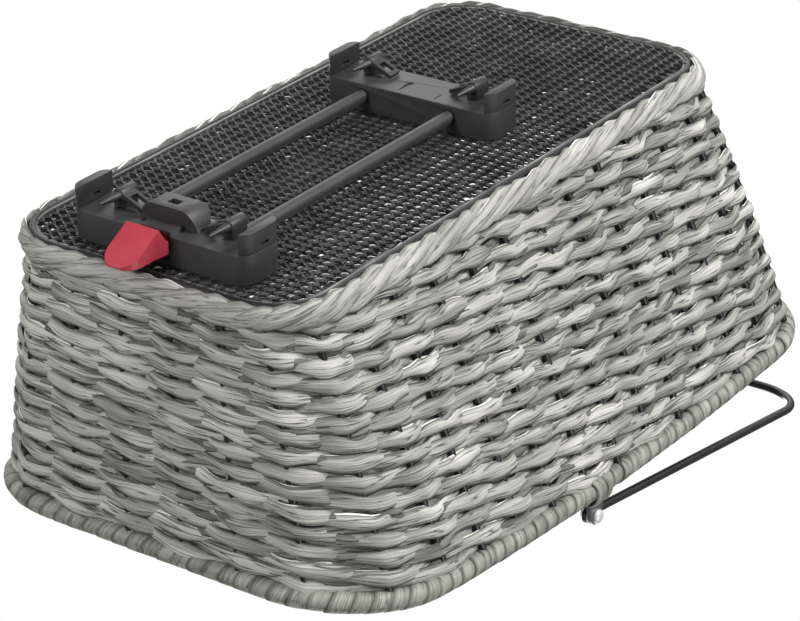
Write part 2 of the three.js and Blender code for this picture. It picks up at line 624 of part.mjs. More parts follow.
function endLug(face, side) {
  const middle = face - BAR_DEPTH / 2;
  const inner = BAR_HALF_WIDTH - LUG_THICKNESS;
  const plate = common(upright(barShape(face), 0, BAR_UNDERSIDE - SEAT_GAP),
    block([face - BAR_DEPTH - 1, face + 1], span(side, inner, BAR_HALF_WIDTH + 1), [-1, BAR_UNDERSIDE]));
  const slot = block([middle - LUG_SLOT.rear, middle + LUG_SLOT.front],
    span(side, inner - 1, BAR_HALF_WIDTH + 1), [BAR_UNDERSIDE - LUG_SLOT.low, BAR_UNDERSIDE - LUG_SLOT.high]);
  return join(cut(plate, slot), tenon(LUG_TENON, middle, side));
}

function rackHook(face, side) {
  const root = face - HOOK_SETBACK;
  const back = root - HOOK_LENGTH;
  const top = BAR_UNDERSIDE - SEAT_GAP;
  const wide = HOOK_WIDTH / 2;
  const barrelZ = HOOK_FLOOR_GAP + wide;
  const body = join(
    block([back + HOOK_BACK_STEP, root],
      span(side, HOOK_HALF_SPACING - wide, HOOK_HALF_SPACING + wide), [barrelZ, top]),
    rod('x', wide, back, root, [side * HOOK_HALF_SPACING, barrelZ], 12),
  );
  const cone = new THREE.CylinderGeometry(HORN_TIP_RADIUS, HORN_RADIUS, HORN_LENGTH + HORN_ROOT, 12);
  cone.rotateZ(-Math.PI / 2).rotateY(HORN_DROOP);
  cone.translate(root + (HORN_LENGTH - HORN_ROOT) / 2, side * HOOK_HALF_SPACING, barrelZ);
  const peg = tenon(HOOK_TENON, root - HOOK_LENGTH / 2, side);
  return join(body, solidFrom(cone), hookStrap(root, side, barrelZ, top), peg);
}

// The strap slopes from the hook's low end up to the bar, nearer the middle, and has a window in it
function hookStrap(root, side, low, top) {
  const run = HOOK_HALF_SPACING - STRAP_FOOT_REACH;
  const rise = top - low;
  const slope = Math.hypot(run, rise);
  const shape = new THREE.Shape();
  shape.moveTo(0, 0);
  shape.lineTo(slope, 0);
  shape.lineTo(slope, STRAP_WIDTH);
  shape.lineTo(0, STRAP_WIDTH);
  const [holeFrom, holeTo] = [STRAP_FRAME + 1, slope - HOOK_WIDTH / 2 - STRAP_FRAME];
  const hole = new THREE.Path();
  hole.moveTo(holeFrom, STRAP_FRAME);
  hole.lineTo(holeFrom, STRAP_WIDTH - STRAP_FRAME);
  hole.lineTo(holeTo, STRAP_WIDTH - STRAP_FRAME);
  hole.lineTo(holeTo, STRAP_FRAME);
  shape.holes.push(hole);
  const geometry = new THREE.ExtrudeGeometry(shape, { depth: STRAP_THICKNESS, bevelEnabled: false });
  geometry.rotateZ(Math.PI / 2).translate(STRAP_WIDTH, 0, -STRAP_THICKNESS);
  geometry.rotateX(-Math.atan2(rise, run)).translate(root - STRAP_WIDTH, STRAP_FOOT_REACH, top);
  const strap = solidFrom(geometry);
  return side < 0 ? strap.mirror([0, 1, 0]) : strap;
}

function barRod(side) {
  const from = REAR_BAR_FACE - ROD_SEAT_DEPTH + SEAT_GAP;
  const to = FRONT_BAR_FACE - BAR_DEPTH + ROD_SEAT_DEPTH - SEAT_GAP;
  return rod('x', ROD_RADIUS, from, to, [side * ROD_HALF_SPACING, ROD_Z]);
}

// Release lever: a tongue outside the bar and a neck inside it, turning on a pin
function releaseLever() {
  const face = FRONT_BAR_FACE;
  const root = face + TONGUE_ROOT_GAP;
  const tip = face + LEVER_TIP_REACH;
  const [low, high] = [LEVER_NECK_Z, LEVER_NECK_TOP];
  const tongueProfile = [[root, low], [face + TONGUE_STEP.reach, low - TONGUE_STEP.drop],
    [face + LEVER_HEEL_REACH, BAR_UNDERSIDE - LEVER_HEEL_DROP],
    [tip - TONGUE_TIP.round, low + TONGUE_TIP.low], [tip, low + TONGUE_TIP.middle],
    [tip - TONGUE_TIP.round / 2, low + TONGUE_TIP.high], [face + TONGUE_BACK_REACH, high - 1], [root, high]];
  const plan = roundedRectangle(face + 2, tip, LEVER_WIDTH / 2, TONGUE_CORNER, 1);
  const tongue = common(sideways(tongueProfile, -LEVER_WIDTH, LEVER_WIDTH), upright(plan, -1, BAR_TOP));
  const neckFront = face + NECK_REACH;
  const neckProfile = [[LEVER_PIN_X, low], [neckFront, low], [neckFront, high],
    [LEVER_PIN_X + NECK_START, high], [LEVER_PIN_X, LEVER_PIN_Z + LEVER_BOSS_RADIUS - SEAT_GAP]];
  const wide = LEVER_NECK_WIDTH / 2;
  const boss = rod('y', LEVER_BOSS_RADIUS, -wide, wide, [LEVER_PIN_X, LEVER_PIN_Z]);
  const flag = block([LEVER_PIN_X + RUNNING_GAP, LEVER_PIN_X + FLAG_LENGTH],
    [-FLAG_HALF_WIDTH, FLAG_HALF_WIDTH], [LEVER_PIN_Z - FLAG_DROP, LEVER_PIN_Z]);
  const pin = [LEVER_PIN_X, LEVER_PIN_Z];
  const bore = rod('y', LEVER_PIN_RADIUS + RUNNING_GAP, -wide - 1, wide + 1, pin);
  return cut(join(tongue, sideways(neckProfile, -wide, wide), boss, flag), bore);
}

function leverPin() {
  const reach = BAY_HALF_WIDTH + PIN_SEAT_DEPTH;
  return rod('y', LEVER_PIN_RADIUS, -reach, reach, [LEVER_PIN_X, LEVER_PIN_Z]);
}

class Helix extends THREE.Curve {
  constructor(radius, turns, height) {
    super();
    Object.assign(this, { radius, turns, height });
  }

  getPoint(t, target = new THREE.Vector3()) {
    const angle = 2 * Math.PI * this.turns * t;
    return target.set(this.radius * Math.cos(angle), this.radius * Math.sin(angle), this.height * t);
  }
}

function leverSpring() {
  const from = LEVER_NECK_TOP + SEAT_GAP + SPRING_WIRE_RADIUS;
  const to = BAR_TOP - BAY_ROOF - SEAT_GAP - SPRING_WIRE_RADIUS;
  const path = new Helix(SPRING_RADIUS, SPRING_TURNS, to - from);
  const section = new THREE.Shape().absarc(0, 0, SPRING_WIRE_RADIUS, 0, 2 * Math.PI);
  const options = { steps: SPRING_TURNS * 8, extrudePath: path, bevelEnabled: false, curveSegments: 3 };
  const coil = new THREE.ExtrudeGeometry(section, options);
  return solidFrom(coil.translate(FRONT_BAR_FACE - SPRING_SETBACK, 0, from));
}

// Fasteners
function plateShape(face, grow = 0) {
  const middle = face - BAR_DEPTH / 2;
  const [rear, front] = [middle - PLATE_HALF_WIDTH - grow, middle + PLATE_HALF_WIDTH + grow];
  return roundedRectangle(rear, front, PLATE_HALF_LENGTH + grow, PLATE_CORNER_RADIUS + grow);
}

function backingPlate(face) {
  const low = PLATE_BED + SEAT_GAP;
  const holes = screwHoles(low - 1, low + PLATE_THICKNESS + 1, [face]);
  return cut(upright(plateShape(face), low, low + PLATE_THICKNESS), ...holes);
}

function barScrew(face, side) {
  const seat = PLATE_BED + PLATE_THICKNESS + 2 * SEAT_GAP;
  const profile = [[0, BAR_TOP - SCREW_GRIP], [SCREW_RADIUS, BAR_TOP - SCREW_GRIP], [SCREW_RADIUS, seat],
    [SCREW_HEAD_RADIUS, seat], [SCREW_HEAD_RADIUS, seat + SCREW_HEAD_HEIGHT * 0.55],
    [SCREW_HEAD_RADIUS * 0.6, seat + SCREW_HEAD_HEIGHT], [0, seat + SCREW_HEAD_HEIGHT]];
  const turned = new THREE.LatheGeometry(profile.map(([r, z]) => new THREE.Vector2(r, z)), 12);
  turned.rotateX(Math.PI / 2).translate(face - BAR_DEPTH / 2, side * SCREW_HALF_SPACING, 0);
  return solidFrom(turned);
}

// Handle: tabs on the rim, rivets, washers and the wire bail between them
const TAB_INNER = RIM_HALF_WIDTH - TAB_THICKNESS / 2;
const BAIL_Y = TAB_INNER - 2 * SEAT_GAP - WASHER_THICKNESS - BAIL_EYE_THICKNESS / 2;

function handleTab(side) {
  const foot = RIM_Z_AT_HANDLE + RIM_WIRE_RADIUS + TAB_ROOT_GAP;
  const shoulder = RIM_Z_AT_HANDLE + RIM_WRAP_RADIUS + TAB_SHOULDER;
  const wide = TAB_ROOT_WIDTH / 2;
  const shape = new THREE.Shape();
  shape.moveTo(HANDLE_X - wide, foot);
  shape.lineTo(HANDLE_X + wide, foot);
  shape.lineTo(HANDLE_X + wide, shoulder);
  shape.lineTo(HANDLE_X + TAB_TIP_RADIUS, PIVOT_Z);
  shape.absarc(HANDLE_X, PIVOT_Z, TAB_TIP_RADIUS, 0, Math.PI);
  shape.lineTo(HANDLE_X - wide, shoulder);
  const hole = new THREE.Path().absarc(HANDLE_X, PIVOT_Z, RIVET_RADIUS + SEAT_GAP, 0, 2 * Math.PI);
  shape.holes.push(hole);
  const options = { depth: TAB_THICKNESS, bevelEnabled: false, curveSegments: 6 };
  const geometry = new THREE.ExtrudeGeometry(shape, options);
  geometry.rotateX(Math.PI / 2).translate(0, side * RIM_HALF_WIDTH + TAB_THICKNESS / 2, 0);
  return solidFrom(geometry);
}

function rimBinding(side) {
  const bore = RIM_WRAP_RADIUS + SEAT_GAP;
  const outer = bore + BINDING_THICKNESS;
  const shape = new THREE.Shape();
  const low = BINDING_LOW_ANGLE;
  const { halfWidth, rise, from } = BINDING_PEAK;
  shape.absarc(0, 0, outer, -low, from);
  shape.lineTo(halfWidth, RIM_WRAP_RADIUS + rise);
  shape.lineTo(-halfWidth, RIM_WRAP_RADIUS + rise);
  shape.absarc(0, 0, outer, Math.PI - from, Math.PI + low);
  shape.absarc(0, 0, bore, Math.PI + low, -low, true);
  const ahead = HANDLE_X + BINDING_WIDTH;
  const slope = Math.atan((RIM_Z_AT_HANDLE - rimHeight(ahead)) / BINDING_WIDTH);
  const options = { depth: BINDING_WIDTH, bevelEnabled: false, curveSegments: 8 };
  const geometry = new THREE.ExtrudeGeometry(shape, options);
  geometry.rotateX(Math.PI / 2).rotateZ(Math.PI / 2).translate(-BINDING_WIDTH / 2, 0, 0);
  geometry.rotateY(slope).translate(HANDLE_X, side * RIM_HALF_WIDTH, RIM_Z_AT_HANDLE);
  const reach = TAB_THICKNESS / 2 + SEAT_GAP;
  const halfSlot = TAB_ROOT_WIDTH / 2 + SEAT_GAP;
  const middle = side * RIM_HALF_WIDTH;
  return cut(solidFrom(geometry), block([HANDLE_X - halfSlot, HANDLE_X + halfSlot],
    [middle - reach, middle + reach], [RIM_Z_AT_HANDLE, PIVOT_Z]));
}

// Round pieces on the pivot's axis, as a profile of radius and distance outwards from the middle
function onPivot(profile, side) {
  const turned = new THREE.LatheGeometry(profile.map(([r, y]) => new THREE.Vector2(r, y)), 16);
  if (side < 0) turned.rotateX(Math.PI);
  return solidFrom(turned.translate(HANDLE_X, 0, PIVOT_Z));
}

function handleRivet(side) {
  const outside = RIM_HALF_WIDTH + TAB_THICKNESS / 2 + SEAT_GAP;
  const inside = BAIL_Y - BAIL_EYE_THICKNESS / 2 - SEAT_GAP;
  const crown = outside + RIVET_HEAD_HEIGHT;
  const upset = [inside - RIVET_UPSET, inside];
  const [narrow, wide] = RIVET_UPSET_FLARE.map((flare) => RIVET_RADIUS + flare);
  return onPivot([[0, upset[0]], [narrow, upset[0]], [wide, upset[1]],
    [RIVET_RADIUS, inside], [RIVET_RADIUS, outside], [RIVET_HEAD_RADIUS, outside],
    [RIVET_HEAD_RADIUS, crown - RIVET_HEAD_CHAMFER], [RIVET_HEAD_RADIUS - RIVET_HEAD_CHAMFER, crown],
    [0, crown]], side);
}

function handleWasher(side) {
  const inner = BAIL_Y + BAIL_EYE_THICKNESS / 2 + SEAT_GAP;
  const bore = RIVET_RADIUS + RUNNING_GAP;
  return onPivot([[bore, inner], [WASHER_RADIUS, inner], [WASHER_RADIUS, inner + WASHER_THICKNESS],
    [bore, inner + WASHER_THICKNESS], [bore, inner]], side);
}

// The bail is drawn lying level towards the rear and then turned up to the angle it rests at
function handleBail() {
  const far = -BAIL_REACH;
  const corner = BAIL_CORNER_RADIUS;
  const start = 1 - BAIL_EYE_RADIUS;
  const bend = arcPoints(corner, Math.PI / 2, Math.PI, 5);
  const left = bend.map(([x, y]) => new THREE.Vector3(far + corner + x, BAIL_Y - corner + y, 0));
  const right = left.map(({ x, y }) => new THREE.Vector3(x, -y, 0)).reverse();
  const ends = BOTH.map((side) => new THREE.Vector3(start, -side * BAIL_Y, 0));
  const route = [ends[0], ...left, ...right, ends[1]];
  const wire = bentWire(route, BAIL_WIRE_RADIUS, 8);
  const eye = (side, radius, reach) =>
    rod('y', radius, side * BAIL_Y - reach, side * BAIL_Y + reach, [0, 0]);
  const eyes = BOTH.map((side) => eye(side, BAIL_EYE_RADIUS, BAIL_EYE_THICKNESS / 2));
  const holes = BOTH.map((side) => eye(side, RIVET_RADIUS + RUNNING_GAP, BAIL_EYE_THICKNESS));
  const geometry = geometryFrom(cut(join(wire, ...eyes), ...holes));
  geometry.rotateY(BAIL_REST_ANGLE * Math.PI / 180).translate(HANDLE_X, 0, PIVOT_Z);
  return solidFrom(geometry);
}

// The assembly
function group(...children) {
  const made = new THREE.Group();
  made.add(...children);
  return made;
}

const SIDES = [['left', 1], ['right', -1]];
const BARS = [['front', FRONT_BAR_FACE], ['rear', REAR_BAR_FACE]];

const basket = group(
  named('base_panel', basePanel(), BLACK_WIRE),
  named('wire_frame', wireFrame(), BLACK_WIRE),
  named('woven_wall', wovenWall(), WILLOW),
  named('base_border', baseBorder(), WILLOW),
  named('rim_wrap', rimWrap(), CANE),
);

const adapter = group(
  named('front_bar', frontBar(), BLACK_PLASTIC),
  named('rear_bar', rearBar(), BLACK_PLASTIC),
  ...SIDES.map(([side, sign]) => named(`bar_rod_${side}`, barRod(sign), BLACK_PLASTIC)),
  ...BARS.flatMap(([bar, face]) => [
    named(`backing_plate_${bar}`, backingPlate(face), BLACK_PLASTIC),
    ...SIDES.flatMap(([side, sign]) => [
      named(`end_lug_${bar}_${side}`, endLug(face, sign), BLACK_PLASTIC),
      named(`rack_hook_${bar}_${side}`, rackHook(face, sign), BLACK_PLASTIC),
      named(`bar_screw_${bar}_${side}`, barScrew(face, sign), ZINC),
    ]),
  ]),
  named('release_lever', releaseLever(), RED_PLASTIC),
  named('lever_pin', leverPin(), ZINC),
  named('lever_spring', leverSpring(), ZINC),
);

const handle = group(
  ...SIDES.flatMap(([side, sign]) => [
    named(`handle_tab_${side}`, handleTab(sign), DARK_STEEL),
    named(`rim_binding_${side}`, rimBinding(sign), CANE),
    named(`handle_rivet_${side}`, handleRivet(sign), ZINC),
    named(`handle_washer_${side}`, handleWasher(sign), ZINC),
  ]),
  named('handle_bail', handleBail(), BLACK_WIRE),
);

// The origin is under the middle of the whole object, on the surface it stands on
const bicycleBasket = group(basket, adapter, handle);
const extent = new THREE.Box3().setFromObject(bicycleBasket, true);
bicycleBasket.position.x = -(extent.min.x + extent.max.x) / 2;

export default bicycleBasket;
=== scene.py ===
"""Looks of a woven bicycle basket with a wire handle and a clip-on rack adapter.

Sizes are in millimetres and become metres where a mesh is made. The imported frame's +X points to
the release lever, +Z up out of the basket's mouth and +Y to the left.
"""
from __future__ import annotations

import logging
import math
from collections.abc import Iterator, Sequence
from contextlib import contextmanager
from dataclasses import dataclass, field
from enum import Enum

import bmesh
import bpy
import numpy as np
from mathutils import Matrix, Vector

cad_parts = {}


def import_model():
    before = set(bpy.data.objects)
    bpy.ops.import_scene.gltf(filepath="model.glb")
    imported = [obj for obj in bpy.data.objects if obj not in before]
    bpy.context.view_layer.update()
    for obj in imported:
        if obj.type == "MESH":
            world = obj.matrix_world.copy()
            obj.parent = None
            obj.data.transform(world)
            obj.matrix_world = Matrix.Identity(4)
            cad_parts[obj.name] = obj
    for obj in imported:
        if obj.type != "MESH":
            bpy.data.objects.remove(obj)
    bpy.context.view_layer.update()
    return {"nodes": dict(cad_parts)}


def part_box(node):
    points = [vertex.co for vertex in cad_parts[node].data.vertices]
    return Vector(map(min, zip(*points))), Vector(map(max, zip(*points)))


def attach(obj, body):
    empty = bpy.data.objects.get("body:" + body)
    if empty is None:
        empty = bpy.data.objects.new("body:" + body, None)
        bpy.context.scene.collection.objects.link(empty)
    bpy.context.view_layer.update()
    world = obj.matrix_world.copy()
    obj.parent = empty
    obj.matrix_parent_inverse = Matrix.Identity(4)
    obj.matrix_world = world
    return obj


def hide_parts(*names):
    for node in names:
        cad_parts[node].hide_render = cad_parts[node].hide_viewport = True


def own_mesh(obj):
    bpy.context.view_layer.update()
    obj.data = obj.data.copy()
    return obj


LOG = logging.getLogger("bicycle_basket")
Array = np.ndarray
Colour = tuple[float, float, float]
Strip = tuple[Array, Array, Array]
Piece = bpy.types.Object
Material = bpy.types.Material
Socket = bpy.types.NodeSocket
Feeds = dict[str | int, object]

MM = 0.001
TURN = 2 * math.pi
ROUND = 9.0
UP = np.array([0.0, 0.0, 1.0])
SIDES = {"left": 1, "right": -1}
PATTERN_LENGTH = 100.0
WHITE = (1.0, 1.0, 1.0, 1.0)

# Corners nearer than this, in metres, are one
SAME_POINT = 2e-6
# Angles in degrees past which an edge stays sharp
TURNED_EDGE, MOULDED_EDGE, DRAWN_EDGE = 35.0, 28.0, 40.0

# Sections: share of the width, share of the thickness, and place in the fibre pattern
WILLOW = np.array([
    (-0.50, -0.12, 0.03), (-0.44, 0.20, 0.07), (-0.23, 0.72, 0.28), (0.0, 0.92, 0.50),
    (0.23, 0.72, 0.72), (0.44, 0.20, 0.93), (0.50, -0.12, 0.97), (0.40, -0.45, 0.90),
    (0.0, -0.62, 0.50), (-0.40, -0.45, 0.10)])
STRAND = np.array([
    (-0.5, 0.0, 0.04), (-0.2, 0.5, 0.3), (0.25, 0.45, 0.7), (0.5, 0.0, 0.96),
    (0.2, -0.5, 0.7), (-0.25, -0.45, 0.3)])
CANE = np.array([
    (-0.50, -0.9, 0.03), (-0.485, -0.06, 0.06), (-0.2, 0.0, 0.3), (0.0, 0.02, 0.5),
    (0.2, 0.0, 0.7), (0.485, -0.08, 0.94), (0.50, -0.9, 0.97), (0.0, -1.0, 0.5)])


class Body(Enum):
    """The moving bodies of the frame."""

    ROOT = "root"
    HANDLE = "handle"
    LEVER = "lever"


class Slot(Enum):
    """The record's material slots."""

    WEAVE = "weave"
    CANE = "cane_wrap"
    MESH = "mesh_steel"
    WIRE = "black_wire"
    TAB = "dark_steel"
    PLASTIC = "black_plastic"
    RED = "red_plastic"
    ZINC = "zinc"


# Lines and directions
def unit(vectors: Array) -> Array:
    """Vectors brought to a length of one."""
    return vectors / np.linalg.norm(vectors, axis=-1, keepdims=True)


def walk_along(line: Array) -> Array:
    """Distance from a line's first point to each of its points."""
    return np.concatenate([[0.0], np.cumsum(np.linalg.norm(np.diff(line, axis=0), axis=1))])


@dataclass(frozen=True)
class Ring:
    """A rounded rectangle seen from above: its reach each way along X and its corners' radius."""

    front: float
    rear: float
    half_width: float
    corner: float

    def points(self, place: Array) -> Array:
        """Points of the outline.

        Args:
            place: places round it: four corners, and five stretches between them, 0 to 9.

        Returns:
            An array of X and Y in the last axis.
        """
        front, rear = self.front - self.corner, self.rear + self.corner
        left, knots = self.half_width - self.corner, np.arange(10)
        x = np.interp(place, knots, [front] * 3 + [rear] * 4 + [front] * 3)
        y = np.interp(place, knots, [0] + [left] * 4 + [-left] * 4 + [0])
        angle = np.interp(place, knots, [0, 0, 1, 1, 2, 2, 3, 3, 4, 4]) * math.pi / 2
        round_x, round_y = self.corner * np.cos(angle), self.corner * np.sin(angle)
        return np.stack([x + round_x, y + round_y], axis=-1)


@dataclass
class Wall:
    """The flared wall between the floor wire and the rim wire, as a surface.

    Attributes:
        shift: X of the floor's middle in the frame.
        steps: measuring steps in each stretch of the outline.
    """

    shift: float
    base: Ring = Ring(218.0, -218.0, 98.0, 34.0)
    rim: Ring = Ring(222.0, -305.0, 144.5, 68.0)
    floor_z: float = 29.5
    height: float = 198.0
    rise_at_rear: float = 16.57
    fall_at_ends: float = 10.31
    bulge: float = 0.04
    stakes: int = 38
    steps: Sequence[int] = (1, 4, 5, 4, 3, 4, 5, 4, 1)
    _walk: Array = field(init=False)
    _places: Array = field(init=False)

    def __post_init__(self) -> None:
        """Measures the way round the middle of the wall, where the stakes stand evenly."""
        places = [s + i / n for s, n in enumerate(self.steps) for i in range(n)]
        self._places = np.array(places + [ROUND])
        self._walk = walk_along(self.at(self._places, np.full(len(self._places), 0.5)))

    def rim_height(self, x: Array) -> Array:
        """Height of the rim wire above X, measured from the floor's middle."""
        along = x / self.base.front
        lift = self.rise_at_rear * along
        return self.floor_z + self.height - lift - self.fall_at_ends * along**2

    def rim_slope(self, x: float) -> float:
        """How steeply the rim wire falls towards the front at X."""
        front = self.base.front
        return self.rise_at_rear / front + 2 * self.fall_at_ends * x / front**2

    def at(self, place: Array, height: Array) -> Array:
        """Points on the wall's middle surface.

        Args:
            place: places round the outline, 0 to 9.
            height: 0 at the floor to 1 at the rim wire.

        Returns:
            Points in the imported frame.
        """
        base, rim = self.base.points(place), self.rim.points(place)
        flare = (height + self.bulge * 4 * height * (1 - height))[..., None]
        plan = base + (rim - base) * flare
        z = self.floor_z + (self.rim_height(rim[..., 0]) - self.floor_z) * height
        return np.concatenate([plan + [self.shift, 0.0], z[..., None]], axis=-1)

    def ring(self, height: float, count: int) -> Array:
        """Points once round the wall at one height."""
        return self.at(np.linspace(0, ROUND, count, endpoint=False), np.full(count, height))

    def heading(self, place: Array, height: float, step: float) -> Array:
        """Unit directions round the wall.

        Args:
            place: places round the outline, 0 to 9.
            height: 0 to 1.
            step: how far to either side the direction is measured.

        Returns:
            The directions.
        """
        level = np.full(place.shape, height)
        after, before = (self.at((place + s) % ROUND, level) for s in (step, -step))
        return unit(after - before)

    def place(self, stake: Array) -> Array:
        """The place round the outline of a stake number, which may be a fraction."""
        reach = self._walk[-1] * (((stake + 0.5) / self.stakes) % 1.0)
        return np.interp(reach, self._walk, self._places)

    def frame(self, stake: Array, height: Array, step: float = 0.02) -> tuple[Array, ...]:
        """Points on the wall with the directions there.

        Args:
            stake: stake numbers, fractions between them.
            height: 0 to 1.
            step: how far to either side the directions are measured.

        Returns:
            Points, and unit vectors outwards and up the wall.
        """
        place = self.place(stake)
        after, before = (self.at(self.place(stake + s), height) for s in (step, -step))
        upward = self.at(place, height + step) - self.at(place, height - step)
        return self.at(place, height), unit(np.cross(after - before, upward)), unit(upward)


# Making meshes
def placed(name: str, data: bpy.types.ID) -> Piece:
    """Puts an object into the scene."""
    made = bpy.data.objects.new(name, data)
    bpy.context.scene.collection.objects.link(made)
    return made


@contextmanager
def editing(mesh: bpy.types.Mesh) -> Iterator[bmesh.types.BMesh]:
    """Opens a mesh for editing and writes it back."""
    bm = bmesh.new()
    bm.from_mesh(mesh)
    yield bm
    bm.to_mesh(mesh)
    bm.free()


def outward_normals(piece: Piece) -> None:
    """Turns a closed piece's faces outwards."""
    with editing(piece.data) as bm:
        bmesh.ops.recalc_face_normals(bm, faces=bm.faces)


def smooth_by_angle(piece: Piece, degrees: float) -> None:
    """Shades a piece smooth, with sharp edges past an angle."""
    piece.data.shade_smooth()
    piece.data.set_sharp_from_angle(angle=math.radians(degrees))


def bake_modifiers(piece: Piece) -> None:
    """Turns a piece with its modifiers into a plain mesh."""
    bpy.context.view_layer.update()
    graph = bpy.context.evaluated_depsgraph_get()
    mesh = bpy.data.meshes.new_from_object(piece.evaluated_get(graph))
    piece.modifiers.clear()
    piece.data = mesh


def piece_from(name: str, points: Array, faces: Array, uv: Array | None = None) -> Piece:
    """Makes a smooth mesh object.

    Args:
        name: the piece's name.
        points: N by 3 array.
        faces: rows of point numbers.
        uv: pattern coordinates for each face corner, in the order of the faces.

    Returns:
        The object at the origin.
    """
    mesh = bpy.data.meshes.new(name)
    mesh.from_pydata((np.asarray(points) * MM).tolist(), [], [list(map(int, f)) for f in faces])
    if uv is not None:
        layer = mesh.uv_layers.new(name="Strip")
        layer.data.foreach_set("uv", np.asarray(uv, np.float32).reshape(-1))
    mesh.polygons.foreach_set("use_smooth", [True] * len(mesh.polygons))
    mesh.update()
    return placed(name, mesh)


def swept(line: Array, across: Array, through: Array, widths: Array, depths: Array) -> Array:
    """Sets a section on each point of a line, its widths across it and its depths through it."""
    return (line[:, None, :] + across[:, None, :] * widths[..., None]
            + through[:, None, :] * depths[..., None])


def ribbon(line: Array, outward: Array, upward: Array, section: Array, width: Array,
           thickness: float, angle: Array, lift: Array | float = 0.0) -> Array:
    """Points of a strip that lies against the wall.

    Args:
        line: the strip's middle.
        outward: directions out of the wall.
        upward: directions up the wall.
        section: the strip's section.
        width: its width at each point.
        thickness: its thickness.
        angle: how far its upper edge leans out, in radians.
        lift: an extra thickness share for each point and section point.

    Returns:
        An array of line points by section points.
    """
    cos, sin = np.cos(angle)[:, None], np.sin(angle)[:, None]
    across, through = upward * cos + outward * sin, outward * cos - upward * sin
    depths = (section[:, 1] + lift) * thickness
    return swept(line, across, through, section[:, 0] * width[:, None], depths)


def strip(points: Array, section: Array, u: Array, offset: float = 0.0,
          closed: bool = True) -> Strip:
    """Gives a band with a closed section its faces and its pattern, with a sharp seam.

    Args:
        points: line points by section points.
        section: the band's section.
        u: length at each line point, and at the end of a closed line.
        offset: added to the section's pattern values.
        closed: whether the line closes on itself.

    Returns:
        The points, rows of four point numbers, and coordinates of the faces' corners.
    """
    around, beads = points.shape[:2]
    i, j = np.meshgrid(np.arange(around if closed else around - 1), np.arange(beads), indexing="ij")
    after, beside = (i + 1) % around, (j + 1) % beads
    faces = [i * beads + j, after * beads + j, after * beads + beside, i * beads + beside]
    v = np.append(section[:, 2], section[0, 2]) + offset
    corners = ((0, 0), (1, 0), (1, 1), (0, 1))
    uv = [np.stack([u[i + a], v[j + b]], axis=-1) for a, b in corners]
    return points, np.stack(faces, axis=-1).reshape(-1, 4), np.stack(uv, axis=-2).reshape(-1, 2)


def joined(name: str, strips: Sequence[Strip]) -> Piece:
    """Makes one piece out of several bands."""
    offset, points, faces, uv = 0, [], [], []
    for some_points, some_faces, some_uv in strips:
        points.append(some_points.reshape(-1, 3))
        faces.append(some_faces + offset)
        uv.append(some_uv)
        offset += len(points[-1])
    return piece_from(name, np.vstack(points), np.vstack(faces), np.vstack(uv))


def turned(name: str, centre: Sequence[float], profile: Sequence[tuple[float, float]],
           side: int = 0, facets: int = 32) -> Piece:
    """Makes a turned piece.

    Args:
        name: the piece's name.
        centre: a point on the axis.
        profile: radius and distance along the axis, closed at the axis or on itself.
        side: 1 or -1 for an axis along Y or against it, 0 for an upright one.
        facets: facets round the axis.

    Returns:
        The object.
    """
    mesh = bpy.data.meshes.new(name)
    rings = []
    with editing(mesh) as bm:
        for radius, reach in profile:
            ring = []
            for k in range(facets if radius > 0 else 1):
                a = radius * math.cos(TURN * k / facets)
                b = radius * math.sin(TURN * k / facets)
                local = (a, side * reach, b) if side else (a, b, reach)
                ring.append(bm.verts.new([(c + d) * MM for c, d in zip(centre, local)]))
            rings.append(ring)
        for first, second in zip(rings, rings[1:]):
            for k in range(facets):
                corners = [first[k % len(first)], first[(k + 1) % len(first)],
                           second[(k + 1) % len(second)], second[k % len(second)]]
                unique = list(dict.fromkeys(corners))
                if len(unique) > 2:
                    bm.faces.new(unique)
        if profile[0] == profile[-1]:
            bmesh.ops.remove_doubles(bm, verts=bm.verts, dist=1e-7)
        bmesh.ops.recalc_face_normals(bm, faces=bm.faces)
    made = placed(name, mesh)
    smooth_by_angle(made, TURNED_EDGE)
    return made


def bevelled(node: str, width: float, segments: int = 2, angle: float = 30.0) -> Piece:
    """Copies a frame node with its doubles merged and its edges rounded.

    Args:
        node: the node's name.
        width: bevel width.
        segments: facets of each rounded edge.
        angle: edges under this angle, in degrees, aren't rounded.

    Returns:
        The new object, which doesn't yet replace the node.
    """
    mesh = bpy.data.objects[node].data.copy()
    mesh.materials.clear()
    with editing(mesh) as bm:
        bmesh.ops.remove_doubles(bm, verts=bm.verts, dist=SAME_POINT)
    made = placed(f"{node}_finished", mesh)
    rounding = made.modifiers.new("Rounding", "BEVEL")
    rounding.width = width * MM
    rounding.segments = segments
    rounding.limit_method = "ANGLE"
    rounding.angle_limit = math.radians(angle)
    rounding.use_clamp_overlap = True
    bake_modifiers(made)
    smooth_by_angle(made, MOULDED_EDGE)
    return made


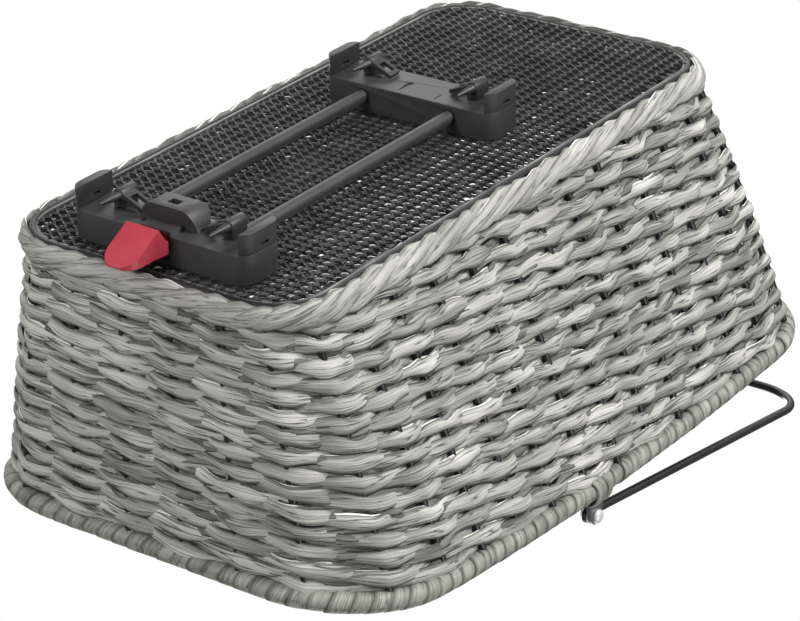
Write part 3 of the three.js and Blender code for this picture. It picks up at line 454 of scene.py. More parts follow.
# Nodes
class Nodes:
    """Adds nodes to a tree."""

    def __init__(self, tree: bpy.types.NodeTree) -> None:
        """Takes the tree."""
        self.tree = tree

    def feed(self, node: bpy.types.Node, feeds: Feeds) -> None:
        """Gives a node's inputs, by name or number, a socket or a plain value."""
        for key, value in feeds.items():
            if isinstance(value, Socket):
                self.tree.links.new(value, node.inputs[key])
            else:
                node.inputs[key].default_value = value

    def add(self, kind: str, feeds: Feeds | None = None,
            **settings: object) -> bpy.types.NodeOutputs:
        """Adds a node.

        Args:
            kind: its type.
            feeds: sockets or plain values for its inputs.
            settings: its properties.

        Returns:
            Its output sockets.
        """
        made = self.tree.nodes.new(kind)
        for key, value in settings.items():
            setattr(made, key, value)
        self.feed(made, feeds or {})
        return made.outputs

    def maths(self, operation: str, first: object, second: object = 0.0) -> Socket:
        """Adds a math node fed by sockets or numbers."""
        return self.add("ShaderNodeMath", {0: first, 1: second}, operation=operation)[0]

    def vary(self, share: Socket, low: float, high: float) -> Socket:
        """Adds a node that spreads a share over a range."""
        feeds = {"Value": share, "To Min": low, "To Max": high}
        return self.add("ShaderNodeMapRange", feeds)["Result"]

    def sockets(self, way: str,
                kinds: dict[str, str]) -> dict[str, bpy.types.NodeTreeInterfaceSocket]:
        """Makes the tree's own inputs or outputs, whose kinds are given by name."""
        make = self.tree.interface.new_socket
        return {label: make(label, in_out=way, socket_type=f"NodeSocket{kind}")
                for label, kind in kinds.items()}


class PieceTree(Nodes):
    """A Geometry Nodes tree with named inputs that makes a plain mesh."""

    def __init__(self, name: str, kinds: dict[str, str]) -> None:
        """Starts the tree.

        Args:
            name: its name.
            kinds: the kind of each input, by name.
        """
        super().__init__(bpy.data.node_groups.new(name, "GeometryNodeTree"))
        made = self.sockets("INPUT", {**kinds, "Finish": "Material"})
        self.keys = {label: socket.identifier for label, socket in made.items()}
        self.sockets("OUTPUT", {"Pieces": "Geometry"})
        self.given = self.add("NodeGroupInput")

    def close(self, geometry: Socket) -> None:
        """Ends the tree in Realize Instances and Set Material."""
        real = self.add("GeometryNodeRealizeInstances", {"Geometry": geometry})
        paint = self.add("GeometryNodeSetMaterial",
                         {"Geometry": real[0], "Material": self.given["Finish"]})
        self.add("NodeGroupOutput", {"Pieces": paint[0]})

    def run(self, name: str, mesh: bpy.types.Mesh, values: dict[str, object]) -> Piece:
        """Runs the tree.

        Args:
            name: the piece's name.
            mesh: what the tree starts from.
            values: its other inputs, by name.

        Returns:
            The object, as a plain mesh.
        """
        piece = placed(name, mesh)
        modifier = piece.modifiers.new("Tree", "NODES")
        modifier.node_group = self.tree
        for label, value in values.items():
            modifier[self.keys[label]] = value
        bake_modifiers(piece)
        return piece


class TubeTree(PieceTree):
    """A tree that gives each chain of edges a round section."""

    def __init__(self) -> None:
        """Builds the tree once."""
        super().__init__("wire_along_path",
                         {"Path": "Geometry", "Wire Radius": "Float", "Sides": "Int"})
        route = self.add("GeometryNodeMeshToCurve", {"Mesh": self.given["Path"]})
        circle = self.add("GeometryNodeCurvePrimitiveCircle",
                          {"Radius": self.given["Wire Radius"], "Resolution": self.given["Sides"]})
        sweep = self.add("GeometryNodeCurveToMesh", {
            "Curve": route["Curve"], "Profile Curve": circle["Curve"], "Fill Caps": True})
        self.close(self.add("GeometryNodeSetShadeSmooth", {"Geometry": sweep["Mesh"]})[0])

    def make(self, name: str, paths: Sequence[Array], radius: float, sides: int,
             finish: Material, closed: bool = False) -> Piece:
        """Makes wires along paths.

        Args:
            name: the piece's name.
            paths: arrays of points.
            radius: radius of the wire.
            sides: facets round the wire.
            finish: its material.
            closed: whether each path closes on itself.

        Returns:
            The object.
        """
        edges, offset = [], 0
        for path in paths:
            end = offset + len(path) - 1
            edges += [(k, k + 1) for k in range(offset, end)]
            if closed:
                edges.append((end, offset))
            offset = end + 1
        mesh = bpy.data.meshes.new(name)
        mesh.from_pydata((np.vstack(paths) * MM).tolist(), edges, [])
        return self.run(name, mesh, {"Wire Radius": radius * MM, "Sides": sides, "Finish": finish})


class RepeatTree(PieceTree):
    """A tree that sets one small shape on each point of a mesh."""

    def __init__(self) -> None:
        """Builds the tree once."""
        super().__init__("repeat_on_points", {
            "Points": "Geometry", "Shape": "Object", "Size Spread": "Float", "Seed": "Int"})
        shape = self.add("GeometryNodeObjectInfo",
                         {"Object": self.given["Shape"], "As Instance": True})
        turn = self.add("GeometryNodeInputNamedAttribute", {"Name": "turn"},
                        data_type="FLOAT_VECTOR")
        spread = self.given["Size Spread"]
        low, high = (self.maths(kind, 1.0, spread) for kind in ("SUBTRACT", "ADD"))
        chance = self.add("FunctionNodeRandomValue", {2: low, 3: high, "Seed": self.given["Seed"]})
        copies = self.add("GeometryNodeInstanceOnPoints", {
            "Points": self.given["Points"], "Instance": shape["Geometry"],
            "Rotation": turn["Attribute"], "Scale": chance[1]})
        self.close(copies["Instances"])

    def make(self, name: str, points: Array, turns: Array, shape: Piece,
             spread: float, seed: int, finish: Material) -> Piece:
        """Makes copies of a shape.

        Args:
            name: the piece's name.
            points: where the copies go.
            turns: Euler angles of each copy.
            shape: the object to repeat, which is removed afterwards.
            spread: how much the size varies either way.
            seed: for the sizes.
            finish: the material.

        Returns:
            The object.
        """
        mesh = bpy.data.meshes.new(name)
        mesh.from_pydata((points * MM).tolist(), [], [])
        attribute = mesh.attributes.new("turn", "FLOAT_VECTOR", "POINT")
        attribute.data.foreach_set("vector", np.asarray(turns, np.float32).reshape(-1))
        piece = self.run(name, mesh, {
            "Shape": shape, "Size Spread": spread, "Seed": seed, "Finish": finish})
        bpy.data.objects.remove(shape)
        return piece


# Finishes
class Shader(Nodes):
    """A material under construction, with its nodes."""

    def __init__(self, name: str) -> None:
        """Starts a material that holds one Principled BSDF."""
        self.material = bpy.data.materials.new(name)
        self.material.use_nodes = True
        super().__init__(self.material.node_tree)
        self.surface = self.tree.nodes["Principled BSDF"]

    def blend(self, share: Socket, first: Socket, second: Colour) -> Socket:
        """Mixes a colour over another one by a share."""
        feeds = {0: share, 6: first, 7: (*second, 1.0)}
        return self.add("ShaderNodeMix", feeds, data_type="RGBA")[2]

    def ramp(self, source: Socket, stops: Sequence[tuple[float, Colour]]) -> Socket:
        """Adds a colour ramp.

        Args:
            source: the value that feeds it.
            stops: positions and colours.

        Returns:
            The colour.
        """
        colour = self.add("ShaderNodeValToRGB", {"Fac": source})["Color"]
        elements = colour.node.color_ramp.elements
        while len(elements) < len(stops):
            elements.new(0.5)
        for element, (position, tint) in zip(elements, stops):
            element.position = position
            element.color = (*tint, 1.0)
        return colour

    def bump(self, height: Socket, strength: float, distance: float) -> None:
        """Adds a bump fed by a height to the surface's normal."""
        feeds = {"Strength": strength, "Distance": distance, "Height": height}
        self.feed(self.surface, {"Normal": self.add("ShaderNodeBump", feeds)["Normal"]})


@dataclass(frozen=True)
class FibreGroup:
    """Split willow and cane: lengthwise streaks, slow tone, painted shade in creases and at sides,
    torn edges.

    Attributes:
        row_shift: how far apart the patterns of two strips lie.
        patches, fray: how much the torn edge follows the tone and the streaks.
    """

    row_shift: float = 7.31
    tone_across: float = 0.9
    # Size and sharpness of the thin lines of painted crease shade
    shade_line_along: float = 1.7
    shade_line_across: float = 4.5
    shade_line_sharpness: float = 27.0
    patches: float = 0.30
    fray: float = 0.1
    # Where and how fast the painted shade at a strip's sides starts
    side_start: float = 0.27
    side_steepness: float = 5.5

    def build(self) -> bpy.types.NodeTree:
        """Makes the shader node group."""
        nodes = Nodes(bpy.data.node_groups.new("fibre", "ShaderNodeTree"))
        sizes = {"Along": 5.0, "Across": 26.0, "Tone Along": 1.6, "Edge": 0.4}
        made = nodes.sockets("INPUT", {"Strip": "Vector", **dict.fromkeys(sizes, "Float")})
        for label, value in sizes.items():
            made[label].default_value = value
        outputs = ("Tone", "Streaks", "Painted Crease Shade", "Side Shade", "Torn Edge")
        nodes.sockets("OUTPUT", dict.fromkeys(outputs, "Float"))
        given, maths = nodes.add("NodeGroupInput"), nodes.maths
        u, v, _ = nodes.add("ShaderNodeSeparateXYZ", {0: given["Strip"]})
        row = maths("FLOOR", v)
        across = maths("SUBTRACT", v, row)
        shift = maths("MULTIPLY", row, self.row_shift)

        def noise(along: object, aside: object, detail: float) -> Socket:
            """A noise over the strip, stretched along it and across it."""
            where = nodes.add("ShaderNodeCombineXYZ", {
                0: maths("MULTIPLY", u, along), 1: shift, 2: maths("MULTIPLY", across, aside)})
            feeds = {"Vector": where[0], "Scale": 1.0, "Detail": detail}
            return nodes.add("ShaderNodeTexNoise", feeds)["Fac"]

        def from_middle(value: Socket) -> Socket:
            """How far a value lies from one half."""
            return maths("ABSOLUTE", maths("SUBTRACT", value, 0.5))

        tone = noise(given["Tone Along"], self.tone_across, 1.5)
        fine = noise(given["Along"], given["Across"], 3.0)
        # Mask for painted shade: thin lengthwise lines where a noise crosses one half, as in the
        # creases of a folded strip
        ridge = from_middle(noise(self.shade_line_along, self.shade_line_across, 1.0))
        crease = maths("MINIMUM", maths("MULTIPLY", ridge, self.shade_line_sharpness), 1.0)
        centred = from_middle(across)
        ragged = centred
        for texture, weight in ((tone, self.patches), (fine, self.fray)):
            swing = maths("MULTIPLY", maths("SUBTRACT", texture, 0.5), weight)
            ragged = maths("ADD", ragged, swing)
        # Mask for painted shade towards both sides of a strip, where the next strip shades it
        beyond = maths("MULTIPLY", maths("SUBTRACT", centred, self.side_start), self.side_steepness)
        nodes.add("NodeGroupOutput", {
            "Tone": tone, "Streaks": fine, "Painted Crease Shade": maths("SUBTRACT", 1.0, crease),
            "Side Shade": maths("MINIMUM", maths("MAXIMUM", beyond, 0.0), 1.0),
            "Torn Edge": maths("GREATER_THAN", ragged, given["Edge"])})
        return nodes.tree


@dataclass(frozen=True)
class FibreFinish:
    """Split willow or cane, dyed and dry, with painted shade in its creases and at its sides.

    Attributes:
        stops: colours from the darkest streak to the lightest.
        painted_shade_colour: colour of the painted shade along the lengthwise crease lines and at
            the sides.
        edge: where the torn edge starts, from the strip's middle.
        along: streaks for each tenth of a metre.
        streak_share: how much of the colour follows the streaks.
        smoother, rougher: how far the roughness varies each way.
    """

    name: str
    stops: tuple[tuple[float, Colour], ...]
    painted_shade_colour: Colour
    edge_colour: Colour
    edge: float = 0.4
    roughness: float = 0.62
    along: float = 5.0
    across: float = 26.0
    relief: float = 0.5
    side_shade: float = 0.88
    streak_share: float = 0.42
    smoother: float = 0.1
    rougher: float = 0.18
    depth: float = 0.0012

    def build(self, group: bpy.types.NodeTree) -> Material:
        """Makes the material from the shared fibre group."""
        shader = Shader(self.name)
        where = shader.add("ShaderNodeUVMap", uv_map="Strip")
        fibre = shader.add("ShaderNodeGroup", node_tree=group)
        shader.feed(fibre[0].node, {"Strip": where["UV"], "Along": self.along,
                                    "Across": self.across, "Edge": self.edge})
        feeds = {0: self.streak_share, 2: fibre["Tone"], 3: fibre["Streaks"]}
        mixed = shader.add("ShaderNodeMix", feeds, data_type="FLOAT")[0]
        sides = shader.maths("MULTIPLY", fibre["Side Shade"], self.side_shade)
        colour = shader.ramp(mixed, self.stops)
        # Painted shade along the crease lines
        colour = shader.blend(fibre["Painted Crease Shade"], colour, self.painted_shade_colour)
        # Painted shade towards the strip's sides
        colour = shader.blend(sides, colour, self.painted_shade_colour)
        colour = shader.blend(fibre["Torn Edge"], colour, self.edge_colour)
        low, high = self.roughness - self.smoother, self.roughness + self.rougher
        rough = shader.vary(fibre["Streaks"], low, high)
        shader.feed(shader.surface, {"Base Color": colour, "Roughness": rough})
        shader.bump(fibre["Streaks"], self.relief, self.depth)
        return shader.material


@dataclass(frozen=True)
class CoatedFinish:
    """Lacquered wire, moulded plastic or plated metal.

    Attributes:
        dark, light: the colours of the mottle.
        grain, mottle: size of both patterns, as copies to the metre.
        relief: strength of the grain's bump.
        spread: how far the roughness varies either way.
    """

    name: str
    dark: Colour
    light: Colour
    roughness: float
    grain: float
    relief: float
    metallic: float = 0.0
    spread: float = 0.06
    coat: float = 0.0
    mottle: float = 38.0
    depth: float = 0.0002

    def build(self) -> Material:
        """Makes the material."""
        shader = Shader(self.name)
        where = shader.add("ShaderNodeTexCoord")["Object"]
        mottle, grain = (
            shader.add("ShaderNodeTexNoise",
                       {"Vector": where, "Scale": scale, "Detail": detail})["Fac"]
            for scale, detail in ((self.mottle, 3.0), (self.grain, 2.0)))
        shader.feed(shader.surface, {
            "Base Color": shader.ramp(mottle, ((0.35, self.dark), (0.65, self.light))),
            "Roughness": shader.vary(mottle, self.roughness - self.spread,
                                     self.roughness + self.spread),
            "Metallic": self.metallic, "Coat Weight": self.coat})
        shader.bump(grain, self.relief, self.depth)
        return shader.material


class Finishes:
    """Every finish of the basket, built once."""

    def __init__(self) -> None:
        """Builds the shared group and the materials."""
        fibre = FibreGroup().build()
        self.willow = FibreFinish(
            "willow_strip",
            ((0.30, (0.09, 0.09, 0.081)), (0.43, (0.23, 0.229, 0.209)),
             (0.55, (0.375, 0.372, 0.341)), (0.70, (0.56, 0.554, 0.512))),
            (0.035, 0.035, 0.031), (0.66, 0.65, 0.605), edge=0.466).build(fibre)
        # The thin strands' colours are painted shade: the willow's, made about half as light, as
        # they lie deep between the strips
        self.strand = FibreFinish(
            "willow_thin_strand_painted_shade",
            ((0.28, (0.05, 0.05, 0.045)), (0.43, (0.10, 0.10, 0.09)),
             (0.55, (0.15, 0.148, 0.137)), (0.72, (0.26, 0.257, 0.238))),
            (0.04, 0.04, 0.036), (0.50, 0.49, 0.455), edge=0.47).build(fibre)
        self.border = FibreFinish(
            "willow_border",
            ((0.30, (0.15, 0.148, 0.136)), (0.43, (0.27, 0.268, 0.246)),
             (0.55, (0.36, 0.356, 0.33)), (0.70, (0.48, 0.475, 0.435))),
            (0.08, 0.08, 0.072), (0.60, 0.59, 0.55), edge=0.47).build(fibre)
        self.cane = FibreFinish(
            "cane_wrap",
            ((0.30, (0.105, 0.107, 0.088)), (0.43, (0.165, 0.168, 0.14)),
             (0.55, (0.22, 0.223, 0.19)), (0.70, (0.31, 0.313, 0.272))),
            (0.07, 0.07, 0.058), (0.30, 0.30, 0.26), edge=0.49, roughness=0.5, along=9.0,
            across=14.0, relief=0.35).build(fibre)
        self.wire = CoatedFinish(
            "black_lacquered_wire", (0.005, 0.005, 0.006), (0.010, 0.010, 0.011), 0.34,
            grain=500.0, relief=0.12, coat=0.1).build()
        self.mesh = CoatedFinish(
            "black_lacquered_mesh", (0.014, 0.014, 0.014), (0.034, 0.034, 0.033), 0.30,
            grain=700.0, relief=0.2, coat=0.5).build()
        # Light grey, half-metallic finish of the rolled edge: its lightness is a painted highlight
        # along the mesh's edge
        self.highlighted_edge = CoatedFinish(
            "painted_highlight_edge", (0.08, 0.08, 0.08), (0.20, 0.20, 0.195), 0.35,
            grain=700.0, relief=0.2, metallic=0.5).build()
        self.plastic = CoatedFinish(
            "black_moulded_plastic", (0.020, 0.020, 0.021), (0.027, 0.027, 0.028), 0.5,
            grain=2600.0, relief=0.22).build()
        self.red = CoatedFinish(
            "red_moulded_plastic", (0.28, 0.025, 0.040), (0.33, 0.034, 0.050), 0.42,
            grain=2200.0, relief=0.12).build()
        self.zinc = CoatedFinish(
            "bright_zinc", (0.50, 0.50, 0.51), (0.64, 0.64, 0.65), 0.45,
            grain=1200.0, relief=0.12, metallic=0.5).build()
        self.tab = CoatedFinish(
            "dark_plated_sheet", (0.14, 0.14, 0.14), (0.22, 0.22, 0.22), 0.4,
            grain=1100.0, relief=0.14, metallic=0.8).build()


def settle(piece: Piece, slot: Slot, finish: Material | None = None,
           nodes: Sequence[str] = (), body: Body = Body.ROOT) -> None:
    """Gives a piece its finish, its body and the nodes it stands for, and reports it.

    Args:
        piece: the finished mesh object.
        slot: the record's material slot; not used.
        finish: the material, or None where the piece has it already.
        nodes: frame nodes that it replaces.
        body: the body it rides on.
    """
    if finish is not None:
        piece.data.materials.clear()
        piece.data.materials.append(finish)
    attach(piece, body.value)
    if nodes:
        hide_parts(*nodes)
    LOG.info("%s: %d faces", piece.name, len(piece.data.polygons))


# The basket
def ripple(rng: np.random.Generator, rows: int, turns: Array, slow: int, fast: int,
           waves: int = 7) -> Array:
    """Smooth noise for each row, the same at both ends of the way round.

    Args:
        rng: the seeded generator.
        rows: how many rows.
        turns: shares of the way round, 0 to 1.
        slow: the fewest waves round the basket.
        fast: the most.
        waves: how many waves are added up.

    Returns:
        One line of values for each row, mostly within -1 and 1.
    """
    counts = rng.integers(slow, fast + 1, size=(rows, waves, 1))
    phases = rng.uniform(0, TURN, size=(rows, waves, 1))
    weights = rng.uniform(0.4, 1.0, size=(rows, waves, 1))
    total = (weights * np.sin(TURN * counts * turns + phases)).sum(axis=1)
    return total / (0.75 * math.sqrt(waves))


@dataclass
class Weave:
    """The plain weave of the wall: each row passes in front of one stake and behind the next.

    Attributes:
        offset: how far a row swings out and in at the stakes.
        slant: how far it climbs from one stake to the next.
        tilt, roll, twist: how a strip leans always, between the stakes, and at random.
        puff, wander, stray: how far it strays outwards, upwards and along at random.
        fold, crown: depth of its crease, and how round it is in front of a stake.
        tautness: how straight it runs between two stakes.
        ripples: the most waves round the basket in what varies at random.
    """

    wall: Wall
    rows: int = 28
    low: float = 0.064
    high: float = 0.972
    samples: int = 12
    thickness: float = 1.5
    offset: float = 2.9
    width_between: float = 9.2
    width_in_front: float = 10.7
    width_behind: float = 8.6
    uneven: float = 0.17
    wander: float = 0.7
    slant: float = -1.1
    tilt: float = 0.03
    roll: float = -0.15
    twist: float = 0.13
    puff: float = 0.35
    stray: float = 0.12
    fold: float = 0.75
    crown: float = 0.6
    tautness: float = 0.6
    front_ease: float = 1.3
    thin_width: float = 3.9
    thin_thickness: float = 0.8
    thin_uneven: float = 0.35
    thin_wander: float = 1.4
    thin_sink: float = 0.2
    thin_puff: float = 1.1
    thin_twist: float = 0.8
    ripples: tuple[int, int, int] = (60, 34, 52)
    seed: int = 41

    def hidden_start(self, row: int) -> int:
        """The stake that hides where a row closes, another one for each row."""
        return row * 7 % (self.wall.stakes // 2) * 2 + 1 - row % 2

    def path(self, stake: Array, level: Array) -> tuple[Array, Array, Array]:
        """The wall's surface, pulled partly straight between the stakes.

        Args:
            stake: stake numbers along the row.
            level: heights there, 0 to 1.

        Returns:
            Points, outward and upward directions.
        """
        middle, outward, upward = self.wall.frame(stake, level)
        first = np.floor(stake)
        start, end = (self.wall.at(self.wall.place(k), level) for k in (first, first + 1))
        chord = start + (end - start) * (stake - first)[:, None]
        return middle + (chord - middle) * self.tautness, outward, upward

    def strips(self) -> tuple[list[Strip], list[Strip]]:
        """Makes every row and the thin strand below it.

        Returns:
            The strips and the thin strands.
        """
        rng = np.random.default_rng(self.seed)
        count = self.wall.stakes * self.samples
        turns = np.arange(count) / count
        quick, calm, lively = self.ripples
        uneven, twist, puff = (ripple(rng, self.rows, turns, slow, quick) for slow in (9, 6, 5))
        wander, crease, stray = (ripple(rng, self.rows, turns, 3, calm) for _ in range(3))
        thin_wander, thin_puff, thin_twist, thin_uneven = (
            ripple(rng, self.rows, turns, slow, lively) for slow in (4, 8, 8, 12))
        pitch, height = (self.high - self.low) / self.rows, self.wall.height
        strips, strands = [], []
        for row in range(self.rows):
            stake = turns * self.wall.stakes + self.hidden_start(row)
            phase = math.pi * (stake + row + self.stray * stray[row])
            swing, side = np.cos(phase), np.sin(phase)
            level = self.low + pitch * (row + 0.5)
            level = level + (wander[row] * self.wander + side * self.slant) / height
            middle, outward, upward = self.path(stake, level)
            reach = self.offset * swing + self.puff * puff[row]
            front, back = np.clip(swing, 0, 1) ** self.front_ease, np.clip(-swing, 0, 1)
            width = (self.width_between + (self.width_in_front - self.width_between) * front
                     + (self.width_behind - self.width_between) * back)
            angle = self.tilt + self.roll * side + self.twist * twist[row]
            lift = -self.crown * (0.5 + 0.5 * swing)[:, None] * (2 * WILLOW[:, 0]) ** 2
            lift[:, 3] -= self.fold * np.clip(crease[row], 0, 1)
            lift[:, 2] += 0.5 * self.fold * np.clip(-crease[row], -0.4, 0.6)
            points = ribbon(middle + outward * reach[:, None], outward, upward, WILLOW,
                            width * (1 + self.uneven * uneven[row]), self.thickness, angle, lift)
            u = walk_along(np.vstack([middle, middle[:1]])) / PATTERN_LENGTH
            strips.append(strip(points, WILLOW, u, row))
            level = self.low + pitch * row + thin_wander[row] * self.thin_wander / height
            middle, outward, upward = self.path(stake, level)
            reach = self.offset * 0.5 * swing - self.thin_sink + self.thin_puff * thin_puff[row]
            width = self.thin_width * (1 + self.thin_uneven * thin_uneven[row])
            points = ribbon(middle + outward * reach[:, None], outward, upward, STRAND, width,
                            self.thin_thickness, self.thin_twist * thin_twist[row])
            strands.append(strip(points, STRAND, u, row + 2 * self.rows))
        return strips, strands

    def build(self, finishes: Finishes) -> None:
        """Makes the two halves of the weave, below and above the wall's middle, and the strands."""
        strips, strands = self.strips()
        half = self.rows // 2
        for name, some, finish, nodes in (
                ("woven_strips_low", strips[:half], finishes.willow, ["woven_wall"]),
                ("woven_strips_high", strips[half:], finishes.willow, []),
                ("woven_thin_strands", strands[1:], finishes.strand, [])):
            settle(joined(name, some), Slot.WEAVE, finish, nodes)


@dataclass
class BaseBorder:
    """The row that closes the weave at the floor: slanting leaves, one for each stake.

    Attributes:
        length: a leaf's length, in stakes.
        bow, layer_bow: how far its middle bows out, and how much more in the second layer.
        taper, tip: how fast it narrows towards its ends, and their share of the width.
    """

    wall: Wall
    thickness: float = 2.0
    width: float = 9.0
    low: float = 0.014
    high: float = 0.070
    length: float = 1.9
    stand_off: float = 2.4
    bow: float = 2.3
    layer_bow: float = 0.9
    jitter: float = 0.06
    lean: float = 0.5
    lean_jitter: float = 0.12
    taper: float = 5.5
    tip: float = 0.12
    widths: tuple[float, float] = (0.82, 1.08)
    pattern_length: float = 0.9
    pattern_step: float = 3.7
    samples: int = 22
    seed: int = 7

    def build(self, finishes: Finishes) -> None:
        """Makes the leaves."""
        rng = np.random.default_rng(self.seed)
        along = np.linspace(0, 1, self.samples)
        ease, arch = along * along * (3 - 2 * along), np.sin(math.pi * along)
        taper = np.clip(np.minimum(along, 1 - along) * self.taper, self.tip, 1.0)
        leaves = []
        for layer in (0, 1):
            for k in range(self.wall.stakes):
                start = k + 0.5 * layer + rng.uniform(-self.jitter, self.jitter)
                rise = ease + rng.uniform(-self.jitter, self.jitter)
                middle, outward, upward = self.wall.frame(
                    start + along * self.length, self.low + (self.high - self.low) * rise)
                push = self.stand_off + self.bow * arch + self.layer_bow * layer * arch
                width = self.width * taper * rng.uniform(*self.widths)
                angle = self.lean * (0.5 - along) + rng.uniform(-self.lean_jitter, self.lean_jitter)
                points = ribbon(middle + outward * push[:, None], outward, upward, WILLOW, width,
                                self.thickness, angle)
                u = along * self.pattern_length + self.pattern_step * k
                leaves.append(strip(points, WILLOW, u, k + layer * self.wall.stakes, closed=False))
        piece = joined("base_border_leaves", leaves)
        with editing(piece.data) as bm:
            bmesh.ops.holes_fill(bm, edges=[e for e in bm.edges if e.is_boundary], sides=0)
        settle(piece, Slot.WEAVE, finishes.border, ["base_border"])


@dataclass
class RimWrap:
    """Flat cane wound round the rim wire, turn beside turn.

    Attributes:
        cover: width of the cane, as a share of the winding's pitch.
        loose, swell, slip: how much its width, radius and place vary.
        lap: how much higher one side of the cane lies.
    """

    wall: Wall
    radius: float = 6.3
    thickness: float = 1.2
    turns: int = 140
    facets: int = 18
    cover: float = 1.06
    sink: float = 0.15
    loose: float = 0.05
    swell: float = 0.16
    slip: float = 0.07
    lap: float = 0.28
    measures: int = 4001
    seed: int = 3

    def build(self, finishes: Finishes) -> None:
        """Makes the winding."""
        rng = np.random.default_rng(self.seed)
        count = self.turns * self.facets
        steps = np.linspace(0, ROUND, self.measures)
        walk = walk_along(self.wall.at(steps, np.ones_like(steps)))
        turn = np.arange(count) / self.facets
        loose, swell, slip = (
            ripple(rng, 1, turn / self.turns, slow, fast, 14)[0]
            for slow, fast in ((40, 190), (20, 150), (60, 180)))
        reach = ((turn + slip * self.slip) / self.turns) % 1.0
        angle = TURN * turn[:, None]
        width = self.cover * walk[-1] / self.turns * (1 + self.loose * loose)
        offset = CANE[:, 0] * width[:, None]
        place = np.interp((reach[:, None] * walk[-1] + offset) % walk[-1], walk, steps)
        along = self.wall.heading(place, 1.0, 0.01)
        outward = unit(np.cross(along, UP))
        upward = np.cross(outward, along)
        radius = (self.radius - self.sink + self.swell * swell[:, None]
                  + CANE[:, 1] * self.thickness + self.lap * CANE[:, 0])
        points = (self.wall.at(place, np.ones_like(place))
                  + outward * (radius * np.cos(angle))[..., None]
                  + upward * (radius * np.sin(angle))[..., None])
        u = np.append(turn, self.turns) * TURN * self.radius / PATTERN_LENGTH
        points, faces, uv = strip(points, CANE, u)
        uv.reshape(count, -1, 2)[:, :, 1] += np.floor(turn)[:, None]
        piece = joined("rim_winding", [(points, faces, uv)])
        outward_normals(piece)
        settle(piece, Slot.CANE, finishes.cane, ["rim_wrap"])


@dataclass
class WireFrame:
    """The welded frame: stakes, the wire round the floor and the wire in the rim."""

    wall: Wall
    stake_radius: float = 2.35
    base_radius: float = 2.5
    rim_radius: float = 3.0
    sides: int = 10
    stake_points: int = 9
    ring_points: int = 360

    def build(self, tubes: TubeTree, finishes: Finishes) -> None:
        """Makes the wires."""
        wall, count = self.wall, self.stake_points
        levels = np.linspace(self.base_radius / wall.height, 1.0, count)
        stakes = [wall.at(wall.place(np.full(count, float(k))), levels) for k in range(wall.stakes)]
        base = wall.ring(0.0, self.ring_points) + self.base_radius * UP
        rim = wall.ring(1.0, self.ring_points)
        for name, paths, radius, nodes in (
                ("stakes", stakes, self.stake_radius, ["wire_frame"]),
                ("floor_wire", [base], self.base_radius, []),
                ("rim_wire", [rim], self.rim_radius, [])):
            piece = tubes.make(name, paths, radius, self.sides, finishes.wire, closed=not nodes)
            settle(piece, Slot.WIRE, None, nodes)


